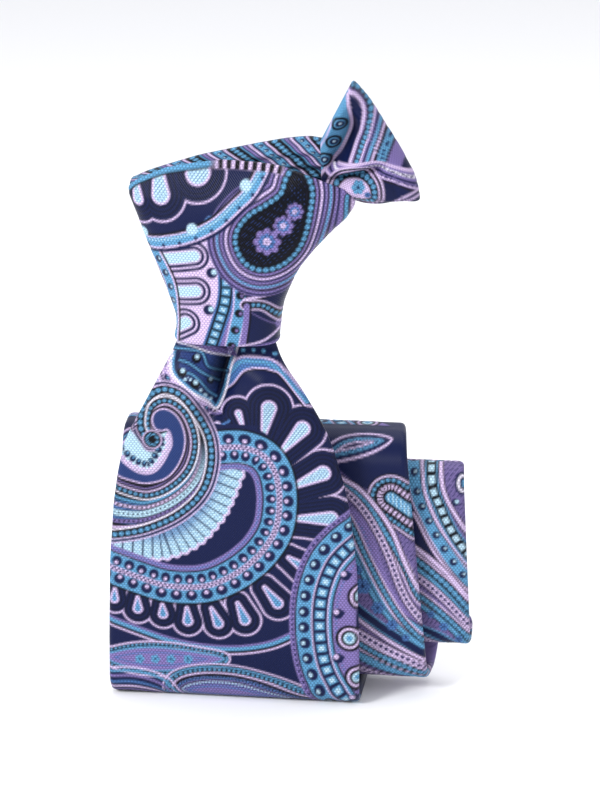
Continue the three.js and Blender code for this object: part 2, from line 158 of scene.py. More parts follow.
class Cloth:
    """A woven figure: ink is each point's yarn colour, with painted shade where mouth_bands darkens the
    dimple; pile is 0 on satin ground and 1 on raised figure.
    """

    def __init__(self, x, z, ground=NAVY, soft=0.24):
        self.x, self.z, self.soft = x.ravel(), z.ravel(), soft
        self.ink = np.tile(ground, (self.x.size, 1))
        self.pile = np.zeros(self.x.size)

    def inside(self, d):
        """1 where d is below zero, 0 above, with a soft yarn-wide edge."""
        return np.clip(0.5 - d / (2 * self.soft), 0, 1)

    def paint(self, at, mask, colour, pile=None):
        m = mask[:, None]
        self.ink[at] += m * (colour - self.ink[at])
        if pile is not None:
            self.pile[at] += mask * (pile - self.pile[at])

    def beside(self, line, reach, closed=False):
        """Signed distance and length along a line, for the points within reach of it.
        d is positive on the line's left; for a closed line d is negative inside."""
        p = np.vstack([line, line[0]]) if closed else line
        low, high = p.min(0) - reach, p.max(0) + reach
        at = np.flatnonzero((self.x > low[0]) & (self.x < high[0])
                            & (self.z > low[1]) & (self.z < high[1]))
        x, z = self.x[at], self.z[at]
        best = np.full(x.size, 1e9)
        side, t = np.ones(x.size), np.zeros(x.size)
        odd = np.zeros(x.size, bool)
        run = 0.0
        for (ax, az), (bx, bz) in zip(p, p[1:]):
            ex, ez = bx - ax, bz - az
            size = math.hypot(ex, ez) + 1e-9
            px, pz = x - ax, z - az
            k = np.clip((px * ex + pz * ez) / size ** 2, 0, 1)
            gap = np.hypot(px - k * ex, pz - k * ez)
            near = gap < best
            best = np.where(near, gap, best)
            side = np.where(near, np.sign(ex * pz - ez * px), side)
            t = np.where(near, run + k * size, t)
            if closed:
                cross = (az > z) != (bz > z)
                odd ^= cross & (x < ax + (z - az) * ex / (ez if abs(ez) > 1e-9 else 1e-9))
            run += size
        d = np.where(odd, -best, best) if closed else best * side
        return Field(at, d, t, run)

    def stripe(self, f, low, high, colour, fade=None):
        """A stripe beside a line, from low to high across it. NIGHT and NAVY lie flat as satin; every
        other colour is raised."""
        mask = self.inside(low - f.d) * self.inside(f.d - high)
        if fade is not None:
            mask = mask * fade
        self.paint(f.at, mask, colour, 0 if colour is NIGHT or colour is NAVY else 1)

    def stripes(self, f, *rows):
        for low, high, colour in rows:
            self.stripe(f, low, high, colour)

    def steps(self, f, pitch, offset=0.0):
        """Length from the middle of the nearest of evenly spaced places along the line."""
        count = max(1, round(f.length / pitch))
        even = f.length / count
        return np.mod(f.t + offset, even) - even / 2

    def beads(self, f, across, pitch, radius, colour, stretch=1.0, offset=0.0):
        """A row of round or oval beads along a line."""
        u = self.steps(f, pitch, offset)
        self.paint(f.at, self.inside(np.hypot(u / stretch, f.d - across) - radius), colour, 1.0)

    def squares(self, f, across, pitch, half, deep, colour):
        """A row of squares, as the rungs of a ladder."""
        u = self.steps(f, pitch)
        self.paint(f.at, self.inside(np.maximum(abs(u) - half, abs(f.d - across) - deep)), colour, 1.0)

    def hooks(self, f, across, pitch, radius, dark, light, turn=1.0, offset=0.0):
        """A row of C shapes: a dark disc with a small light dot set to one side."""
        u = self.steps(f, pitch, offset)
        v = f.d - across
        self.paint(f.at, self.inside(np.hypot(u, v) - radius), dark, 0.2)
        dot = np.hypot(u, v - 0.34 * radius * turn)
        self.paint(f.at, self.inside(dot - 0.36 * radius), light, 1.0)

    def disc(self, x, z, reach):
        """Distance from one point, for the points within reach of it."""
        at = np.flatnonzero(np.hypot(self.x - x, self.z - z) < reach)
        gap = np.hypot(self.x[at] - x, self.z[at] - z)
        return Field(at, gap, np.arctan2(self.z[at] - z, self.x[at] - x) * gap, 2 * math.pi)

    def hook(self, x, z, radius, dark, light, angle=0.5):
        f = self.disc(x, z, radius + 1)
        self.paint(f.at, self.inside(f.d - radius), dark, 0.2)
        f = self.disc(x + 0.45 * radius * math.cos(angle), z + 0.45 * radius * math.sin(angle), radius)
        self.paint(f.at, self.inside(f.d - 0.5 * radius), light, 1.0)

    def flower(self, x, z, radius, colour, heart, petals=8):
        """Round flower: a disc whose rim is scalloped and whose petals are parted by dark lines."""
        f = self.disc(x, z, radius * 1.3 + 1)
        angle = np.arctan2(self.z[f.at] - z, self.x[f.at] - x)
        wave = np.abs(np.cos(angle * petals / 2))
        self.paint(f.at, self.inside(f.d - radius * (0.8 + 0.25 * wave)), colour, 1.0)
        part = self.inside(f.d - radius) * np.clip(1.2 - wave * 4, 0, 1) * (f.d > radius * 0.3)
        self.paint(f.at, part * 0.8, heart, 0.3)
        self.paint(f.at, self.inside(f.d - radius * 0.22), heart, 0.2)

    def rings(self, x, z, *rows):
        """Nested rings round one point, from the outside in."""
        f = self.disc(x, z, rows[0][0] + 1)
        for radius, colour, pile in rows:
            self.paint(f.at, self.inside(f.d - radius), colour, pile)

    def tongues(self, rows, fill, line, ridge, edge):
        """Petals with nested outlines. Each row is base x, base z, tip x, tip z, head radius, lobe width.
        A petal's distance is that to its tapering spine; lobes meet where two petals are equally near."""
        near = np.full(self.x.size, 1e9)
        lobe = np.ones(self.x.size)
        for bx, bz, tx, tz, head, wide in rows:
            px, pz = self.x - bx, self.z - bz
            ex, ez = tx - bx, tz - bz
            k = np.clip((px * ex + pz * ez) / (ex * ex + ez * ez), 0, 1)
            d = np.hypot(px - k * ex, pz - k * ez) - head * (0.4 + 0.6 * k)
            better = d - wide < near - lobe
            near, lobe = np.where(better, d, near), np.where(better, wide, lobe)
        at = np.flatnonzero(near < lobe + 1)
        d, lobe = near[at], lobe[at]
        self.paint(at, self.inside(d - lobe), ridge, 0.1)
        groove = self.inside(0.32 - np.abs(np.mod(d / 1.3 + 0.4, 1) - 0.5)) * self.inside(0.4 - d)
        self.paint(at, groove * self.inside(d - lobe + 0.5) * 0.85, NIGHT, 0.0)
        self.paint(at, self.inside(abs(d - lobe) - 0.3), edge, 1.0)
        self.paint(at, self.inside(d), line, 1.0)
        bright = smooth(38, 75, self.z[at])[:, None]
        self.paint(at, self.inside(d + 0.7), fill[0] + (fill[1] - fill[0]) * bright, 1.0)
        hatch = smooth(0.2, 0.9, np.sin((self.x[at] - self.z[at] * 0.7) * 5.0))
        self.paint(at, self.inside(d + 0.9) * hatch * 0.6, STEEL, 0.5)

    def scallops(self, f, across, pitch, height, colour, wide=0.35):
        """A scalloped line: arches of one height side by side along a line."""
        u = self.steps(f, pitch)
        wave = height * np.cos(math.pi * u / pitch)
        self.paint(f.at, self.inside(abs(f.d - across - wave) - wide), colour, 1.0)

    def fill(self, line, colour, pile, reach=1.0):
        """Everything inside a closed line."""
        f = self.beside(line, reach, closed=True)
        self.paint(f.at, self.inside(f.d), colour, pile)
        return f


# ---------------------------------------------------------------- the woven figures


def curl(c):
    """The curled head of the big teardrop: two beaded bands that wind outwards together, lines
    between them that part towards the bottom, a plain core and a scalloped fringe inside it."""
    outer = np.array([
        (-44.0, 85.5), (-46.6, 89.3), (-47.0, 93.1), (-45.9, 97.9), (-43.4, 101.2), (-39.7, 103.0),
        (-36.0, 102.4), (-33.0, 100.5), (-30.1, 96.9), (-27.3, 92.2), (-25.4, 87.4), (-24.9, 81.7),
        (-25.7, 76.0), (-27.6, 70.8), (-31.4, 65.8), (-37.2, 61.2), (-44.0, 57.8), (-49.5, 56.0),
        (-55.5, 54.9), (-61.0, 54.0)])
    inner = np.array([
        (-43.6, 87.6), (-44.6, 90.0), (-44.8, 92.6), (-44.2, 95.4), (-43.1, 97.4), (-40.6, 99.1),
        (-37.9, 99.3), (-35.1, 97.9), (-32.8, 95.5), (-31.2, 92.2), (-30.2, 88.4), (-30.1, 84.6),
        (-31.0, 80.3), (-32.8, 76.5), (-35.6, 73.2), (-39.2, 70.4), (-42.9, 68.7), (-47.0, 68.2),
        (-53.9, 70.1), (-61.0, 73.5)])
    c.fill(np.vstack([curve(outer), [(-66, 54), (-66, 92), (-48, 92)]]), NIGHT, 0)
    for share, wide, colour in ((0.5, 7.4, STEEL), (0.16, 0.7, ROSE), (0.3, 1.1, LILAC),
                                (0.48, 1.9, PALE), (0.66, 0.9, ROSE), (0.8, 0.8, CYAN)):
        f = c.beside(curve(outer + (inner - outer) * share), 4.5)
        low = 1 - smooth(70, 88, c.z[f.at])
        c.stripe(f, -wide / 2 - 0.3, wide / 2 + 0.3, NIGHT, low)
        c.stripe(f, -wide / 2, wide / 2, colour, low)
        if 0.8 < wide < 2:
            c.paint(f.at, c.inside(np.hypot(c.steps(f, 1.5), f.d) - 0.33) * low, NIGHT, 0.2)
    f = c.beside(curve(inner), 3)
    c.stripes(f, (1.0, 1.5, WHITE), (-2.6, 1.0, NIGHT), (-1.5, -1.0, ROSE), (-2.5, -2.1, LILAC))
    c.beads(f, 0, 1.75, 0.52, CYAN, 1.15)
    f = c.beside(curve(outer), 4)
    c.stripes(f, (-1.8, -1.3, WHITE), (-1.3, 1.3, NIGHT), (1.3, 1.75, ROSE), (1.75, 2.5, NAVY),
              (2.5, 2.9, ROSE))
    c.beads(f, 0, 2.15, 0.72, CYAN, 1.15)
    core = [(-42.4, 90.3), (-43.2, 92.7), (-42.6, 95.0), (-40.8, 96.4), (-38.5, 96.5), (-36.0, 95.0),
            (-34.2, 92.2), (-33.2, 88.4), (-33.3, 84.6), (-34.4, 80.8), (-36.5, 77.0), (-39.7, 73.9),
            (-44.7, 72.3), (-49.3, 72.7), (-56, 75.4), (-56, 81.5), (-51.1, 77.5), (-47.9, 75.6),
            (-44.7, 75.3), (-42.2, 76.5), (-40.1, 79.1), (-38.5, 82.2), (-37.3, 85.1), (-37.6, 88.4),
            (-38.7, 90.0), (-40.6, 89.6)]
    fringe = [(-56, 92), (-50, 89), (-47.6, 86), (-45.5, 83), (-42.6, 82.6), (-40.8, 85.2), (-40.6, 88.4),
              (-38.4, 89.4), (-37.4, 85.1), (-38.6, 82.2), (-40.1, 79.1), (-42.2, 76.5), (-44.7, 75.3),
              (-47.9, 75.6), (-51.1, 77.5), (-56, 81.5)]
    c.fill(curve(fringe, True), PALE, 1)
    f = c.fill(curve(core, True), DENIM, 0.05, 2)
    c.stripes(f, (-0.2, 0.35, ROSE), (0.35, 0.9, NIGHT))
    f = c.beside(curve([(-56, 82.2), (-51.3, 78.2), (-47.9, 76.4), (-44.8, 76.0), (-42.6, 77.1),
                        (-40.7, 79.5), (-39.1, 82.4), (-37.9, 85.3), (-38.2, 88.4)]), 6)
    c.scallops(f, 0.4, 2.5, 0.6, ROSE, 0.45)
    c.stripe(f, -0.3, 0.3, ROSE)
    c.hooks(f, 2.6, 2.6, 1.15, NAVY, CYAN)
    c.rings(-43.4, 86.6, (3.1, ROSE, 1), (2.7, NIGHT, 0))
    f = c.disc(-43.4, 86.6, 3)
    c.beads(f, 1.7, 1.6, 0.5, CYAN)


def front_figure(x, z):
    """Figure of the front panel: the curled teardrop, its fringe, the great crescent with its
    tongues, and the bands and leaves below."""
    c = Cloth(x, z)
    crescent = [(-26.0, 84.0), (-20.0, 85.0), (-14.6, 85.0), (-8.8, 82.7), (-5.3, 77.8), (-3.9, 71.4),
                (-3.9, 65.4), (-4.8, 59.6), (-7.0, 54.6), (-11.0, 49.2), (-17.4, 43.7), (-25.2, 39.6),
                (-32.9, 38.3), (-40.6, 38.8), (-48.2, 41.0), (-60, 45.0)]
    tongues = [(-21.6, 89.2, -23.0, 92.1, 1.2, 3.3), (-14.6, 90.4, -16.4, 96.2, 1.2, 4.2),
               (-8.6, 89.6, -6.9, 98.2, 2.5, 5.0), (-2.8, 84.6, 3.4, 92.0, 2.5, 5.0),
               (0.4, 73.0, 9.8, 77.8, 2.5, 5.2), (1.0, 62.6, 12.2, 63, 2.5, 5.2),
               (-1.0, 49.6, 3.6, 46.6, 1.9, 3.8), (-8.6, 39.4, -4.4, 34.2, 1.9, 3.6),
               (-17.1, 33.7, -14.8, 28.2, 1.9, 3.3), (-25.4, 31.6, -23.2, 26.6, 1.8, 3.2),
               (-33.2, 31.3, -32.9, 27.0, 1.8, 3.2), (-41, 32.2, -40.8, 29.0, 1.7, 3.1),
               (-48.8, 34.2, -48.8, 30.4, 1.7, 3.2), (-56, 36.8, -56.3, 33.4, 1.6, 3.2)]
    c.tongues(tongues, (CYAN, PALE), ROSE, NAVY, ROSE)
    mouth_bands(c)
    fringe = [(-12.6, 83.4), (-13.9, 78.5), (-16.2, 72), (-18.3, 66.6), (-20.6, 61.9), (-23.6, 57.8),
              (-27.2, 53.6), (-31.5, 50.4), (-36.7, 48.0), (-43, 46.8), (-60, 47.6)]
    moon = c.beside(curve(fringe), 8)
    c.stripe(moon, 0, 8, NAVY)
    outer = c.beside(curve(fringe), 9)
    c.stripe(outer, -9, -0.2, PALE)
    u = c.steps(outer, 3.3)
    c.paint(outer.at, (1 - smooth(-8.5, -4.0, outer.d)) * 0.7, STEEL, 0.6)
    lines = smooth(0.3, 0.9, np.sin(outer.d * 4.2 + u * 1.6))
    c.paint(outer.at, c.inside(outer.d + 0.9) * lines * 0.45, CYAN, 0.6)
    c.paint(outer.at, c.inside(1.38 - abs(u)) * c.inside(outer.d + 0.9), NAVY, 0)
    c.scallops(outer, -0.9, 3.3, 0.9, ROSE, 0.42)
    f = c.beside(curve(crescent), 9)
    c.stripes(f, (-7.2, -5.2, LILAC), (-5.4, -4.9, NIGHT), (-4.9, 5.4, CYAN), (5.4, 6.0, NIGHT),
              (-0.9, 0.9, ROSE))
    c.beads(f, 0.4, 1.4, 0.4, NAVY)
    c.beads(f, -0.4, 1.4, 0.4, NAVY, offset=0.7)
    c.hooks(f, 2.7, 4.4, 1.75, NAVY, ROSE, turn=-1)
    c.hooks(f, -2.7, 4.2, 1.65, NAVY, ROSE, offset=2.1)
    c.beads(f, -6.2, 0.9, 0.28, STEEL)
    curl(c)
    lower_bands(c)
    ladder_band(c)
    return c


def lower_bands(c):
    """Below the tongues: a double line, a leaf and a nested teardrop along the bottom fold."""
    double = [(-60, 27.1), (-48.2, 22.9), (-37.9, 19.7), (-27.5, 18.1), (-17.1, 18.1), (-6.8, 20.2),
              (2, 24.5)]
    f = c.beside(curve(double), 3)
    c.stripes(f, (-1.9, -1.2, ROSE), (-1.2, -0.5, NIGHT), (-0.5, 0.8, CYAN), (0.8, 1.4, LILAC))
    leaf = [(-60, 13.5), (-52, 16.6), (-42, 17.6), (-31, 16.6), (-21.5, 14.7), (-31, 11.4), (-42, 9.6),
            (-52, 10.4)]
    f = c.fill(curve(leaf, True), LILAC, 1, 3)
    c.stripes(f, (-0.3, 0.4, CYAN), (0.4, 1.6, NIGHT), (1.6, 2.2, ROSE))
    c.beads(f, 1.0, 1.35, 0.42, CYAN)
    c.stripes(f, (-2.0, -1.6, STEEL))
    for at in (-48.5, -43.5, -38.5, -33.0):
        c.flower(at, 13.7 + 0.04 * (at + 40), 1.5, CYAN, NAVY, 5)
    drop = [(-38, 3.8), (-35, 7.4), (-27, 9.3), (-17, 9.0), (-6, 6.4), (3, 3.4), (12, 1.4), (3, -0.4),
            (-10, -1.6), (-24, -1.8), (-34, -0.6)]
    f = c.fill(curve(drop, True), LILAC, 1, 4)
    c.stripes(f, (0.0, 0.7, ROSE), (0.7, 2.1, NIGHT), (2.1, 2.7, CYAN), (-0.9, 0.0, NIGHT),
              (-1.7, -0.9, STEEL), (-2.4, -2.0, NIGHT), (-3.4, -2.9, DENIM), (-4.3, -3.8, STEEL))
    c.beads(f, 1.4, 1.5, 0.48, CYAN)
    c.stripes(f, (2.7, 3.1, NIGHT), (3.1, 3.6, ROSE))
    c.beads(f, -1.3, 1.1, 0.3, NIGHT)
    c.beads(f, -2.7, 1.1, 0.3, PALE)
    lines = c.beside(curve([(-60, 6), (-50, 6.4), (-42, 4.2), (-39, 0)]), 6)
    c.stripes(lines, (-4.4, -3.6, LILAC), (-2.8, -2.0, ROSE), (-1.2, -0.4, STEEL), (0.6, 1.4, LILAC),
              (2.2, 3.0, CYAN), (3.6, 4.2, ROSE))


def ladder_band(c):
    """The band that sweeps down the right side, with its ladder of squares, C shapes and rings."""
    way = curve([(23, 58), (17.6, 53.5), (12.9, 47.6), (9.8, 39), (8.8, 30.4), (9.3, 20.8), (11.3, 12.2),
                 (15.5, 4.7), (21, -1)])
    f = c.beside(way, 12)
    c.stripes(f, (2.0, 11.5, LILAC), (1.7, 3.9, CYAN), (3.6, 4.1, NIGHT), (-9.6, -7.6, LILAC),
              (-7.9, -7.4, NIGHT), (-7.4, -2.4, CYAN), (-2.6, 2.4, NAVY), (-2.7, -2.3, ROSE),
              (2.3, 2.7, ROSE))
    c.squares(f, 0, 3.7, 1.3, 1.5, CYAN)
    c.squares(f, 0, 3.7, 0.75, 0.8, PALE)
    c.hooks(f, -5.0, 4.9, 1.75, NAVY, PALE, turn=-1)
    c.beads(f, -8.6, 1.5, 0.4, NAVY)
    c.beads(f, 5.2, 1.6, 0.32, STEEL)
    for x, z, size in ((18.2, 23.5, 4.4), (22.0, 37.4, 4.6), (20.8, 10.4, 4.2)):
        c.rings(x, z, (size, NIGHT, 0.2), (size - 0.9, ROSE, 1), (size - 1.7, NIGHT, 0),
                (size - 2.5, PALE, 1), (size - 3.4, CYAN, 1))
    for x, z in ((14.6, 31.6), (14.6, 16.6), (16.8, 44.4), (19.6, 3.4)):
        c.hook(x, z, 1.7, NAVY, ROSE, 2.4)
        c.hook(x + 1.4, z + 0.4, 0.7, NAVY, NAVY)


def mouth_bands(c):
    """Up at the knot: a ribbon over the right lobe, a scrolled shield down the left one, and painted shade
    beside the dimple's crease.
    """
    upper = curve([(-26, 100), (-24.1, 105.0), (-19.1, 111.2), (-15.9, 114.0), (-10.4, 114.3),
                   (-5.8, 113.5), (-2, 110.4), (5, 102)])
    lower = curve([(-24.2, 97), (-22.3, 102.2), (-18.1, 105.5), (-14.5, 109.8), (-9.9, 110.9),
                   (-5.8, 110.2), (-3.0, 108.6), (4, 99.6)])
    f = c.beside(upper, 7)
    c.stripe(f, 0.3, 6, NAVY)
    c.beads(f, 2.2, 3.0, 0.6, CYAN)
    c.fill(np.vstack([upper, lower[::-1]]), STEEL, 1)
    c.stripes(f, (-2.0, -0.8, CYAN), (-0.3, 0.4, ROSE))
    f = c.beside(lower, 2)
    c.stripes(f, (-0.3, 0.3, ROSE), (-0.8, -0.3, NIGHT))
    shield = [(-36.6, 124), (-36.3, 115.9), (-36.7, 111.6), (-36.2, 108.3), (-33.7, 105.5),
              (-30.1, 102.6), (-25.9, 100.3), (-23.4, 98), (-21, 103), (-19.6, 109), (-17.4, 124)]
    c.fill(np.array([(-60, 90), (-60, 124)] + shield[:8]), ROSE, 1)
    f = c.beside(curve(shield[:8]), 8)
    c.stripes(f, (-6.4, -5.6, STEEL), (-4.3, -3.6, NAVY), (-2.6, -2.1, LILAC))
    c.hooks(f, -2.6, 3.6, 0.9, NAVY, CYAN)
    f = c.fill(curve(shield, True), DENIM, 0.4, 3)
    c.stripes(f, (-0.8, 0.1, CYAN), (0.1, 0.8, WHITE), (-2.2, -0.8, NAVY))
    for line in ([(-36, 116.4), (-31, 116), (-27.4, 115), (-25.4, 110.8), (-20, 109.6)],
                 [(-34.4, 112.6), (-31.4, 111.6), (-27, 108.6), (-22.4, 106.6)],
                 [(-34, 107.6), (-31.4, 108.4), (-28.4, 106.4), (-25.6, 103), (-23.4, 101.4)]):
        f = c.beside(curve(line), 2)
        c.stripes(f, (-0.9, 0.8, NAVY), (-0.3, 0.35, CYAN))
    c.beads(f, -1.6, 1.8, 0.5, PALE)
    for x, z, size in ((-29.2, 113.2, 1.5), (-33.6, 108.6, 1.5), (-29.6, 105.0, 1.5),
                       (-25.0, 106.4, 1.1)):
        c.hook(x, z, size, NIGHT, PALE, 1.2)
    # Painted shade: NIGHT is laid on the left of the dimple's crease, where the recess falls into shadow.
    # It is strongest near the crease and high up, and fades out 6.5 mm to the left and below 100 mm.
    deep = c.beside(np.array([(-23.4, 98.0), (-18.0, 118.0)]), 7)
    c.paint(deep.at, c.inside(-deep.d) * smooth(6.5, 1.5, deep.d) * smooth(100, 108, c.z[deep.at]) * 0.8,
            NIGHT)
    f = c.beside(curve([(-36.4, 118.6), (-31, 117.4), (-25, 115.4), (-19, 114.6)]), 3)
    c.stripes(f, (0.2, 2.2, LILAC), (-0.3, 0.2, WHITE))


# How far each stripe of a band reaches past the band's half width, and its colour.
BANDS = {
    "line": ((0.4, NIGHT), (0, ROSE)), "cyan": ((0.4, NIGHT), (0, CYAN)),
    "pink": ((0.4, NIGHT), (0, ROSE)), "beads": ((0.6, ROSE), (0, NIGHT)),
    "dark": ((0.5, CYAN), (0, NAVY)), "hooks": ((0.6, ROSE), (0, CYAN)),
    "ladder": ((0.7, CYAN), (0.2, NIGHT)), "lilac": ((0, LILAC),),
}


def flowing_bands(c, rows):
    """Bands of many kinds along their own lines. Each row is a kind, a width and the line."""
    for kind, wide, points in rows:
        half = wide / 2
        f = c.beside(curve(points), half + 1.6)
        c.stripes(f, *((-half - rim, half + rim, colour) for rim, colour in BANDS[kind]))
        if kind == "beads":
            c.beads(f, 0, wide * 0.72, half * 0.62, CYAN, 1.2)
        elif kind == "pink":
            c.beads(f, 0, wide * 0.8, half * 0.5, NAVY, 1.2)
        elif kind == "lilac":
            c.beads(f, 0, 1.5, 0.3, STEEL)
        elif kind == "ladder":
            c.squares(f, 0, wide * 1.15, wide * 0.38, wide * 0.34, PALE)
        elif kind == "hooks":
            c.hooks(f, 0, wide * 1.3, half * 0.62, NAVY, PALE)


def flecked_cloth(x, z):
    """Lilac ground flecked with navy where sin(4.1 x + z) sin(4.1 z) is high."""
    c = Cloth(x, z, LILAC)
    flecks = smooth(0.1, 0.7, np.sin(c.x * 4.1 + c.z) * np.sin(c.z * 4.1))
    c.paint(np.arange(c.x.size), flecks * 0.8, NAVY, 0.4)
    return c


def middle_figure(x, z):
    """Figure of the second layer: a plain top, the arch of a teardrop, then long bands that sweep
    down to the right over lilac ground."""
    c = flecked_cloth(x, z)
    c.fill([(-70, 120), (60, 120), (60, 62), (38, 61), (33, 68), (20, 70), (8, 80), (-70, 90)], NAVY, 0)
    f = c.fill(curve([(6, 77), (13, 84.2), (21.9, 86.4), (29.4, 84.8), (25.5, 81.2), (17, 78.4)], True),
               NAVY, 0.1)
    c.stripes(f, (-0.4, 0.3, ROSE), (-1.9, -1.5, CYAN), (-3.1, -2.6, ROSE))
    c.beads(f, -2.2, 1.2, 0.36, CYAN)
    f = c.beside(np.array([(29.9, 67.1), (44.0, 57.4)]), 9)
    turn = np.arctan2(c.z[f.at] - 67.1, c.x[f.at] - 29.9) + 0.6
    round_end = 5 * (math.pi / 2 - abs(np.arctan2(np.sin(turn), np.cos(turn))))
    f.d, f.t = abs(f.d), np.where(f.t > 0, f.t, round_end)
    c.stripes(f, (-1, 7.9, NIGHT), (-1, 7.4, ROSE), (-1, 6.8, NIGHT))
    c.beads(f, 5.8, 1.6, 0.58, CYAN)
    c.squares(f, 3.5, 1.5, 0.45, 0.8, ROSE)
    c.stripes(f, (-1, 1.7, CYAN))
    c.paint(f.at, c.inside(f.d - 1.5) * smooth(0, 0.8, np.sin(c.x[f.at] * 5)) * 0.8, PALE, 1)
    flowing_bands(c, [
        ("lilac", 5.0, [(8, 66), (18.6, 59), (22, 54), (25, 44), (30, 33), (36, 25), (42, 20)]),
        ("cyan", 3.0, [(6, 60), (14, 57.5), (19, 52), (23, 41), (30, 30), (42, 20.6)]),
        ("beads", 2.6, [(12, 73), (21.6, 65.9), (25, 61), (28.1, 55.5), (31, 51), (35, 43), (38.6, 35),
                        (44, 29)]),
        ("line", 1.3, [(8, 77), (14.4, 72.7), (20, 69.4), (25.3, 63.6), (30.3, 56.1), (35, 44.5),
                       (40, 35), (44, 31)]),
        ("pink", 2.2, [(8, 73), (14.7, 69.1), (20.6, 63.6), (25.3, 56.4), (29.4, 47.7), (33.4, 36.8),
                       (37.2, 30), (42, 24.6)]),
        ("beads", 2.2, [(8, 67), (16, 60), (21.9, 47.8), (27.8, 36.1), (34.1, 26.1), (42, 18)]),
        ("cyan", 1.4, [(10, 58), (18, 48), (25, 33.5), (32, 24.6), (42, 16.3)]),
        ("dark", 2.4, [(8, 40), (18.7, 30.3), (24.4, 25.8), (30, 21.9), (42, 14.4)]),
        ("line", 1.1, [(8, 35.5), (18.7, 26.9), (30, 18.9), (42, 12.4)]),
        ("pink", 2.4, [(8, 28.5), (19.1, 21.9), (30.3, 15.6), (42, 10.4)]),
        ("beads", 2.4, [(8, 24.6), (19.4, 18.2), (27.8, 13.6), (42, 8.0)]),
        ("cyan", 2.2, [(8, 20), (19.4, 14.2), (30, 9.4), (42, 4.8)]),
        ("pink", 2.0, [(8, 15), (20, 9.6), (32, 5), (42, 1.6)]),
    ])
    for at, size in (((19.4, 42.6), 1.7), ((21.2, 37.2), 2.6), ((26.0, 30.2), 2.1), ((30.6, 24.6), 1.8),
                     ((35, 20.4), 1.2)):
        c.flower(*at, size, STEEL, NAVY, 6)
    return c


def last_figure(x, z):
    """Figure of the third layer: a band of C shapes, a ladder, and bands sweeping down to the right."""
    c = flecked_cloth(x, z)
    c.fill([(20, 60), (33, 84), (35.4, 70), (38.4, 58), (41.4, 50), (46, 42), (30, 30)], NAVY, 0)
    flowing_bands(c, [
        ("hooks", 4.0, [(35.4, 80), (36.4, 72), (38.2, 64.6), (40.4, 59.8), (42.9, 54.6), (46.7, 48.1),
                        (50, 43.4), (57, 34)]),
        ("line", 1.0, [(38.2, 80), (38.9, 73), (40.5, 65.6), (44.2, 57), (49.2, 49.5), (57, 39.6)]),
        ("ladder", 2.8, [(41.2, 82), (41.6, 74.3), (42.6, 67.8), (44.8, 62.6), (47.3, 57), (51, 50.8),
                         (57, 43)]),
        ("line", 1.2, [(44.4, 82), (44.6, 74.3), (45.8, 68), (49.2, 60.9), (57, 49)]),
        ("line", 0.9, [(36.4, 60), (38, 57.2), (41.5, 50.2), (46, 43.6), (57, 31.4)]),
        ("line", 1.4, [(32, 52), (38.4, 47.8), (44.3, 43.2), (49.6, 38), (57, 28.6)]),
        ("beads", 2.8, [(32, 48.6), (39.9, 42.8), (43.4, 39.9), (47.4, 36.4), (51.8, 31.6), (57, 25.2)]),
        ("cyan", 1.6, [(32, 45), (40, 39.8), (46.4, 34.2), (52.4, 27.6), (57, 22.4)]),
        ("pink", 2.2, [(32, 42.8), (40.5, 37), (46.5, 31.8), (52.4, 25.6), (57, 20.4)]),
        ("beads", 2.4, [(32, 37), (40.9, 30.9), (47.4, 25.6), (57, 16.6)]),
        ("cyan", 1.4, [(32, 33.4), (41, 28), (48, 22.6), (57, 14.0)]),
        ("dark", 1.8, [(32, 23.6), (40.5, 21), (48.7, 17.6), (57, 12.6)]),
        ("pink", 1.6, [(32, 20), (41, 18), (49, 14.6), (57, 9.4)]),
    ])
    c.rings(52.6, 70, (3.4, NAVY, 0), (2.6, WHITE, 1), (1.9, NAVY, 0), (1.2, CYAN, 1))
    c.hook(49.6, 64.2, 1.3, NAVY, PALE, 0.6)
    for at, size in (((42.4, 26.4), 1.2), ((46.6, 22.4), 1.5), ((51.4, 18.6), 1.2)):
        c.flower(*at, size, STEEL, NAVY, 6)
    return c


def knot_figure(x, z):
    """Figure of the knot: petals at the top left over plain satin, a ribbon, U-shaped tongues down
    the middle beside a ladder, and a teardrop with flowers at the right."""
    c = Cloth(x, z)
    ribbon = [(-56, 149.5), (-44.8, 150.4), (-37.2, 151.6), (-29, 154), (-21.4, 158), (-15.6, 163.4),
              (-10.8, 168.4), (-7, 176), (-4, 184)]
    c.fill([(-70, 110), (-70, 149.8)] + ribbon + [(40, 184), (40, 110)], LILAC, 1)
    knot_middle(c)
    knot_right(c)
    f = c.beside(curve(ribbon), 3.4)
    c.stripes(f, (-2.9, -1.9, NAVY), (-1.9, 2.0, ROSE), (-1.35, 1.5, CYAN), (2.0, 2.7, NIGHT))
    c.beads(f, 0.7, 1.1, 0.3, PALE)
    c.beads(f, -1.0, 5.2, 0.55, NAVY)
    for at in ((-28.6, 156.2), (-44.6, 153.4), (-13.0, 169.2)):
        f = c.disc(*at, 3)
        c.paint(f.at, c.inside(f.d - 1.7), PALE, 1)
    c.tongues([(-28.4, 184, -27.7, 172.4, 3.9, 4.8), (-40.4, 176, -38.6, 165.6, 2.9, 5.0),
               (-47.4, 172, -45.8, 163.6, 1.8, 5.4)], (PALE, PALE), ROSE, NAVY, ROSE)
    edge = c.beside(curve(KNOT_TOP), 4)
    left = 1 - smooth(-25, -21, c.x[edge.at])
    c.stripe(edge, -2.1, 1, NIGHT, left)
    c.stripe(edge, -1.6, 1, CYAN, left)
    right = smooth(-25, -21, c.x[edge.at]) * (1 - smooth(-3, -1, c.x[edge.at]))
    c.stripe(edge, -2.4, 1, ROSE, right)
    c.paint(edge.at, right * c.inside(-edge.d - 2.4) * c.inside(0.55 - abs(c.steps(edge, 2.6))), NIGHT, 0)
    return c


